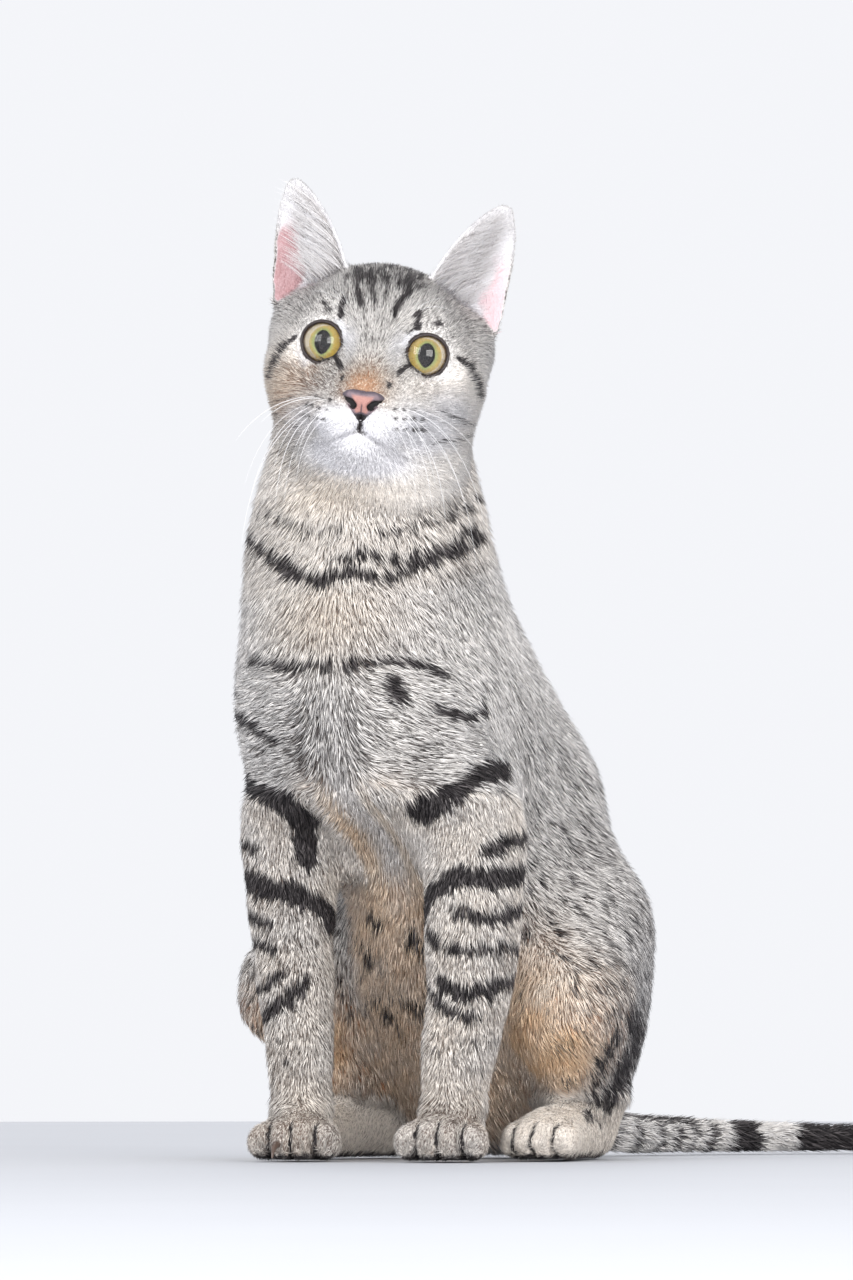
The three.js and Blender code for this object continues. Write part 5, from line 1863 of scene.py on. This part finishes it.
def hair_tubes(name, lines, thickness, sides, material, region):
    """One mesh of closed tapering tubes. lines holds, for each hair, its points from root to tip."""
    hairs, steps = lines.shape[:2]
    ahead = unit(np.gradient(lines, axis=1))
    across = unit(np.cross(ahead, np.array([0.31, 0.2, 0.93])))
    over = np.cross(ahead, across)
    taper = 1 - TAPER * (np.linspace(0, 1, steps) ** 1.3)
    turns = np.arange(sides) * math.tau / sides
    rings = np.cos(turns)[:, None] * across[:, :, None, :] + np.sin(turns)[:, None] * over[:, :, None, :]
    rings = lines[:, :, None, :] + rings * (thickness[:, None] * taper)[:, :, None, None]
    ends = np.stack([lines[:, 0], lines[:, -1] + ahead[:, -1] * thickness[:, None]], 1)
    per = steps * sides + 2
    corners = np.concatenate([rings.reshape(hairs, -1, 3), ends], 1)
    faces = []
    for step in range(steps - 1):
        for k in range(sides):
            a, b = step * sides + k, step * sides + (k + 1) % sides
            faces += [(a, b, b + sides), (a, b + sides, a + sides)]
    for k in range(sides):
        faces.append((steps * sides, (k + 1) % sides, k))
        last = (steps - 1) * sides
        faces.append((steps * sides + 1, last + k, last + (k + 1) % sides))
    faces = np.array(faces)[None] + (np.arange(hairs) * per)[:, None, None]
    piece = new_piece(name, corners.reshape(-1, 3), faces.reshape(-1, 3))
    along = np.concatenate([np.repeat(np.linspace(0, 1, steps), sides), [0, 1]])
    tones = np.repeat(draw.random(hairs), per)
    store(piece.data, "lock", np.column_stack([tones, np.tile(along, hairs), tones]))
    across_patch = np.concatenate([np.tile(np.arange(sides) / sides, steps), [0.5, 0.5]])
    patch = (np.stack([across_patch, along], 1) - 0.5) * PATCH
    places = (map_places(lines[:, 0], region_maps[region])[:, None] + patch).clip(*MAP_EDGES).reshape(-1, 2)
    add_map(piece.data, places[faces.ravel()])
    dress(piece, material)
    return piece


def drooping(roots, directions, lengths, droop, steps=9):
    """Lines that start in those directions and turn towards the floor; droop is how far."""
    place = roots.copy()
    heading = unit(directions)
    lines = [place.copy()]
    for _ in range(steps - 1):
        heading = unit(heading + droop[:, None] * np.array([0, 0, -1]) / steps)
        place = place + heading * (lengths / (steps - 1))[:, None]
        lines.append(place.copy())
    return np.stack(lines, 1)


print("tubes have closed ends and taper to", round(1 - TAPER, 2), "of their thickness")

# %% Whiskers
WHISKER_THICK = 0.13


HAIR_STEPS = 12
BROW_HAIRS = [  # where each is rooted, its direction (outwards, back, up), its length and its droop
    ((11.5, 14.5), (0.35, -0.5, 0.8), 13.0, 0.9),
    ((13.2, 15.8), (0.6, -0.5, 0.75), 17.0, 0.8),
    ((15.2, 16.6), (0.9, -0.45, 0.6), 14.0, 0.9),
]


def hanging_hairs(sign, spots, directions, lengths, droop):
    """Hairs of one side of the face. Spots and directions are those of the left side."""
    u, v = spots.T
    headings = directions * (sign, 1, 1) @ HEAD_AXES
    return drooping(from_head(on_face_at(sign * u, v)), headings, lengths, droop, HAIR_STEPS)


def whisker_lines(sign):
    spots = np.array(list(whisker_spots()))
    row = np.concatenate([[row] * count for row, (_, count) in enumerate(WHISKER_ROWS)])
    back = (spots[:, 0] - WHISKER_FIRST) / (WHISKER_STEP * 3)
    count = len(spots)
    directions = np.stack([
        0.6 + 0.45 * back + draw.uniform(-0.1, 0.1, count),
        -0.32 + 0.45 * back + draw.uniform(-0.1, 0.1, count),
        0.02 - 0.34 * row + draw.uniform(-0.08, 0.08, count),
    ], 1)
    lengths = (19 + 23 * back + 4 * row) * draw.uniform(0.8, 1.15, count)
    droop = 1.3 + 0.7 * row + draw.uniform(-0.2, 0.3, count)
    return hanging_hairs(sign, spots, directions, lengths, droop)


def whisker_finish():
    finish = Finish("whisker", Roughness=0.35, Specular_IOR_Level=0.5)
    along = finish.carried("lock")[1]
    finish.drive("Base Color", finish.blend(along, paint(232, 230, 230), paint(255, 255, 255)))
    return finish.material


whisker_material = whisker_finish()
whiskers = []
for side, sign in SIDES.items():
    brow_hairs = hanging_hairs(sign, *(np.array(column) for column in zip(*BROW_HAIRS)))
    lines = np.concatenate([whisker_lines(sign), brow_hairs])
    thickness = WHISKER_THICK * draw.uniform(0.7, 1.15, len(lines))
    thickness[-len(BROW_HAIRS) :] *= 0.7
    whiskers.append(hair_tubes(f"whiskers_{side}", lines, thickness, 5, whisker_material, "face"))
print("whiskers:", [len(piece.data.polygons) for piece in whiskers])

# %% Long hairs inside the ears
EAR_HAIRS = 520
EAR_HAIR_THICK = 0.11


def ear_hair_lines(side):
    """Hairs rooted along the inner edge of an ear that sweep outwards across its hollow."""
    sign = SIDES[side]
    up, outward = across_ear(side)
    inner_edge = (in_ear > 0.35) & (fx * sign > 6) & (outward < 0.05) & (up < 0.86)
    picked = draw.choice(np.flatnonzero(inner_edge), EAR_HAIRS)
    height = up[picked]
    spread = draw.normal(0, 0.12, (EAR_HAIRS, 3))
    start_ahead = np.stack([sign * (0.55 + 0.2 * height), np.full(EAR_HAIRS, -0.42), 0.75 + 0.2 * height], 1)
    bend = np.array([sign * 0.3, 0.34, -0.16])
    reach = (15 - 6 * height) * draw.uniform(0.6, 1.3, EAR_HAIRS)
    t = np.linspace(0, 1, 5)[None, :, None]
    curve = reach[:, None, None] * (t * unit(start_ahead + spread)[:, None] + t**2 * bend)
    return from_head(face_points[picked][:, None] + curve)


def ear_hair_finish():
    finish = Finish("ear_hair", Roughness=0.5, Specular_IOR_Level=0.3)
    tone, along, _ = finish.carried("lock")
    colour = finish.blend(tone * 0.6 + along * 0.4, paint(214, 208, 206), paint(254, 253, 254))
    finish.drive("Base Color", colour)
    return finish.material


ear_hair_material = ear_hair_finish()
ear_hairs = []
for side in SIDES:
    lines = ear_hair_lines(side)
    thickness = EAR_HAIR_THICK * draw.uniform(0.7, 1.3, EAR_HAIRS)
    ear_hairs.append(hair_tubes(f"ear_hair_{side}", lines, thickness, 3, ear_hair_material, "ears"))
print("hairs in the ears:", [len(piece.data.polygons) for piece in ear_hairs])

# %% [markdown]
# ## The claw
# One claw shows, on a toe of the right forepaw. Its solid already has the right shape, so it only gets a
# finish: horn, streaked dark and light brown.

# %% Claw
def claw_finish():
    finish = Finish("claw_horn", Specular_IOR_Level=0.5)
    streak = finish.noise(500, 3, (4, 4, 0.6))
    finish.drive("Base Color", finish.blend(streak, paint(52, 40, 36), paint(110, 90, 78)))
    finish.drive("Roughness", streak * 0.2 + 0.25)
    return finish.material


claw_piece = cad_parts["claw"]
claw_piece.data.materials.clear()
claw_piece.data.materials.append(claw_finish())

# %% [markdown]
# ## Floor and light
# A pale round floor, a pale sky all round and three soft lamps: one in front and a little to the cat's
# right, a stronger and lower one on its left, which lights the flank and the haunch, and a weak one high
# up behind. Together they light nearly all of the white fur to just under white.

# %% Floor, lamps and world
def add_floor():
    disc = dict(vertices=128, radius=1.8, fill_type="NGON")
    floor = primitive("studio_floor", bpy.ops.mesh.primitive_circle_add, **disc)
    finish = Finish("studio_floor", Roughness=0.7, Specular_IOR_Level=0.2)
    finish.drive("Base Color", finish.blend(finish.noise(6, 2), paint(194, 196, 201), paint(198, 200, 205)))
    floor.data.materials.append(finish.material)


def add_lamp(name, at, aim, size, power, colour):
    at, aim = np.array(at), np.array(aim)
    bpy.ops.object.light_add(type="AREA", location=at)
    lamp = bpy.context.object
    lamp.name = name
    lamp.data.shape = "SQUARE"
    lamp.data.size = size
    lamp.data.energy = power
    lamp.data.color = colour
    back = unit(at - aim)
    side = unit(np.cross((0, 0, 1), back))
    lamp.rotation_euler = Matrix(np.array([side, np.cross(back, side), back]).T.tolist()).to_euler()


add_floor()
BODY_MIDDLE = (0, -0.08, 0.2)
add_lamp("soft_lamp", (-0.4, -2.5, 1.05), BODY_MIDDLE, 1.5, 31, (0.98, 0.99, 1.0))
add_lamp("side_lamp", (2.1, -1.75, 0.6), BODY_MIDDLE, 1.5, 45, (1.0, 0.985, 0.965))
add_lamp("back_lamp", (-1.2, 2.0, 1.9), BODY_MIDDLE, 1.4, 13, (1.0, 0.99, 0.97))
world = bpy.data.worlds.new("pale_studio")
bpy.context.scene.world = world
world.use_nodes = True
sky = world.node_tree.nodes["Background"].inputs
sky["Color"].default_value = (0.955, 0.965, 1.0, 1)
sky["Strength"].default_value = 0.95
bpy.context.scene.view_settings.view_transform = "Standard"

# %% [markdown]
# ## Join it all to the frame
# The cat is still, so every piece rides on the one body. The skin stands for all the solids of flesh, and
# the eyeballs and the nose leather for theirs. The coat may not make the cat any bigger.

# %% Pieces
FLESH = [n for n in sorted(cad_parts) if n not in NOT_FLESH and part_of(n) not in ("eye", "nose")]
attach(skin, "root")
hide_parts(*FLESH)
for piece in coat + ear_hairs:
    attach(piece, "root")
for side in SIDES:
    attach(eyeballs[side], "root")
    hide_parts(f"eye_{side}")
    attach(corneas[side], "root")
    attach(lid_rims[side], "root")
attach(nose_piece, "root")
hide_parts("nose")
for piece in whiskers:
    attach(piece, "root")
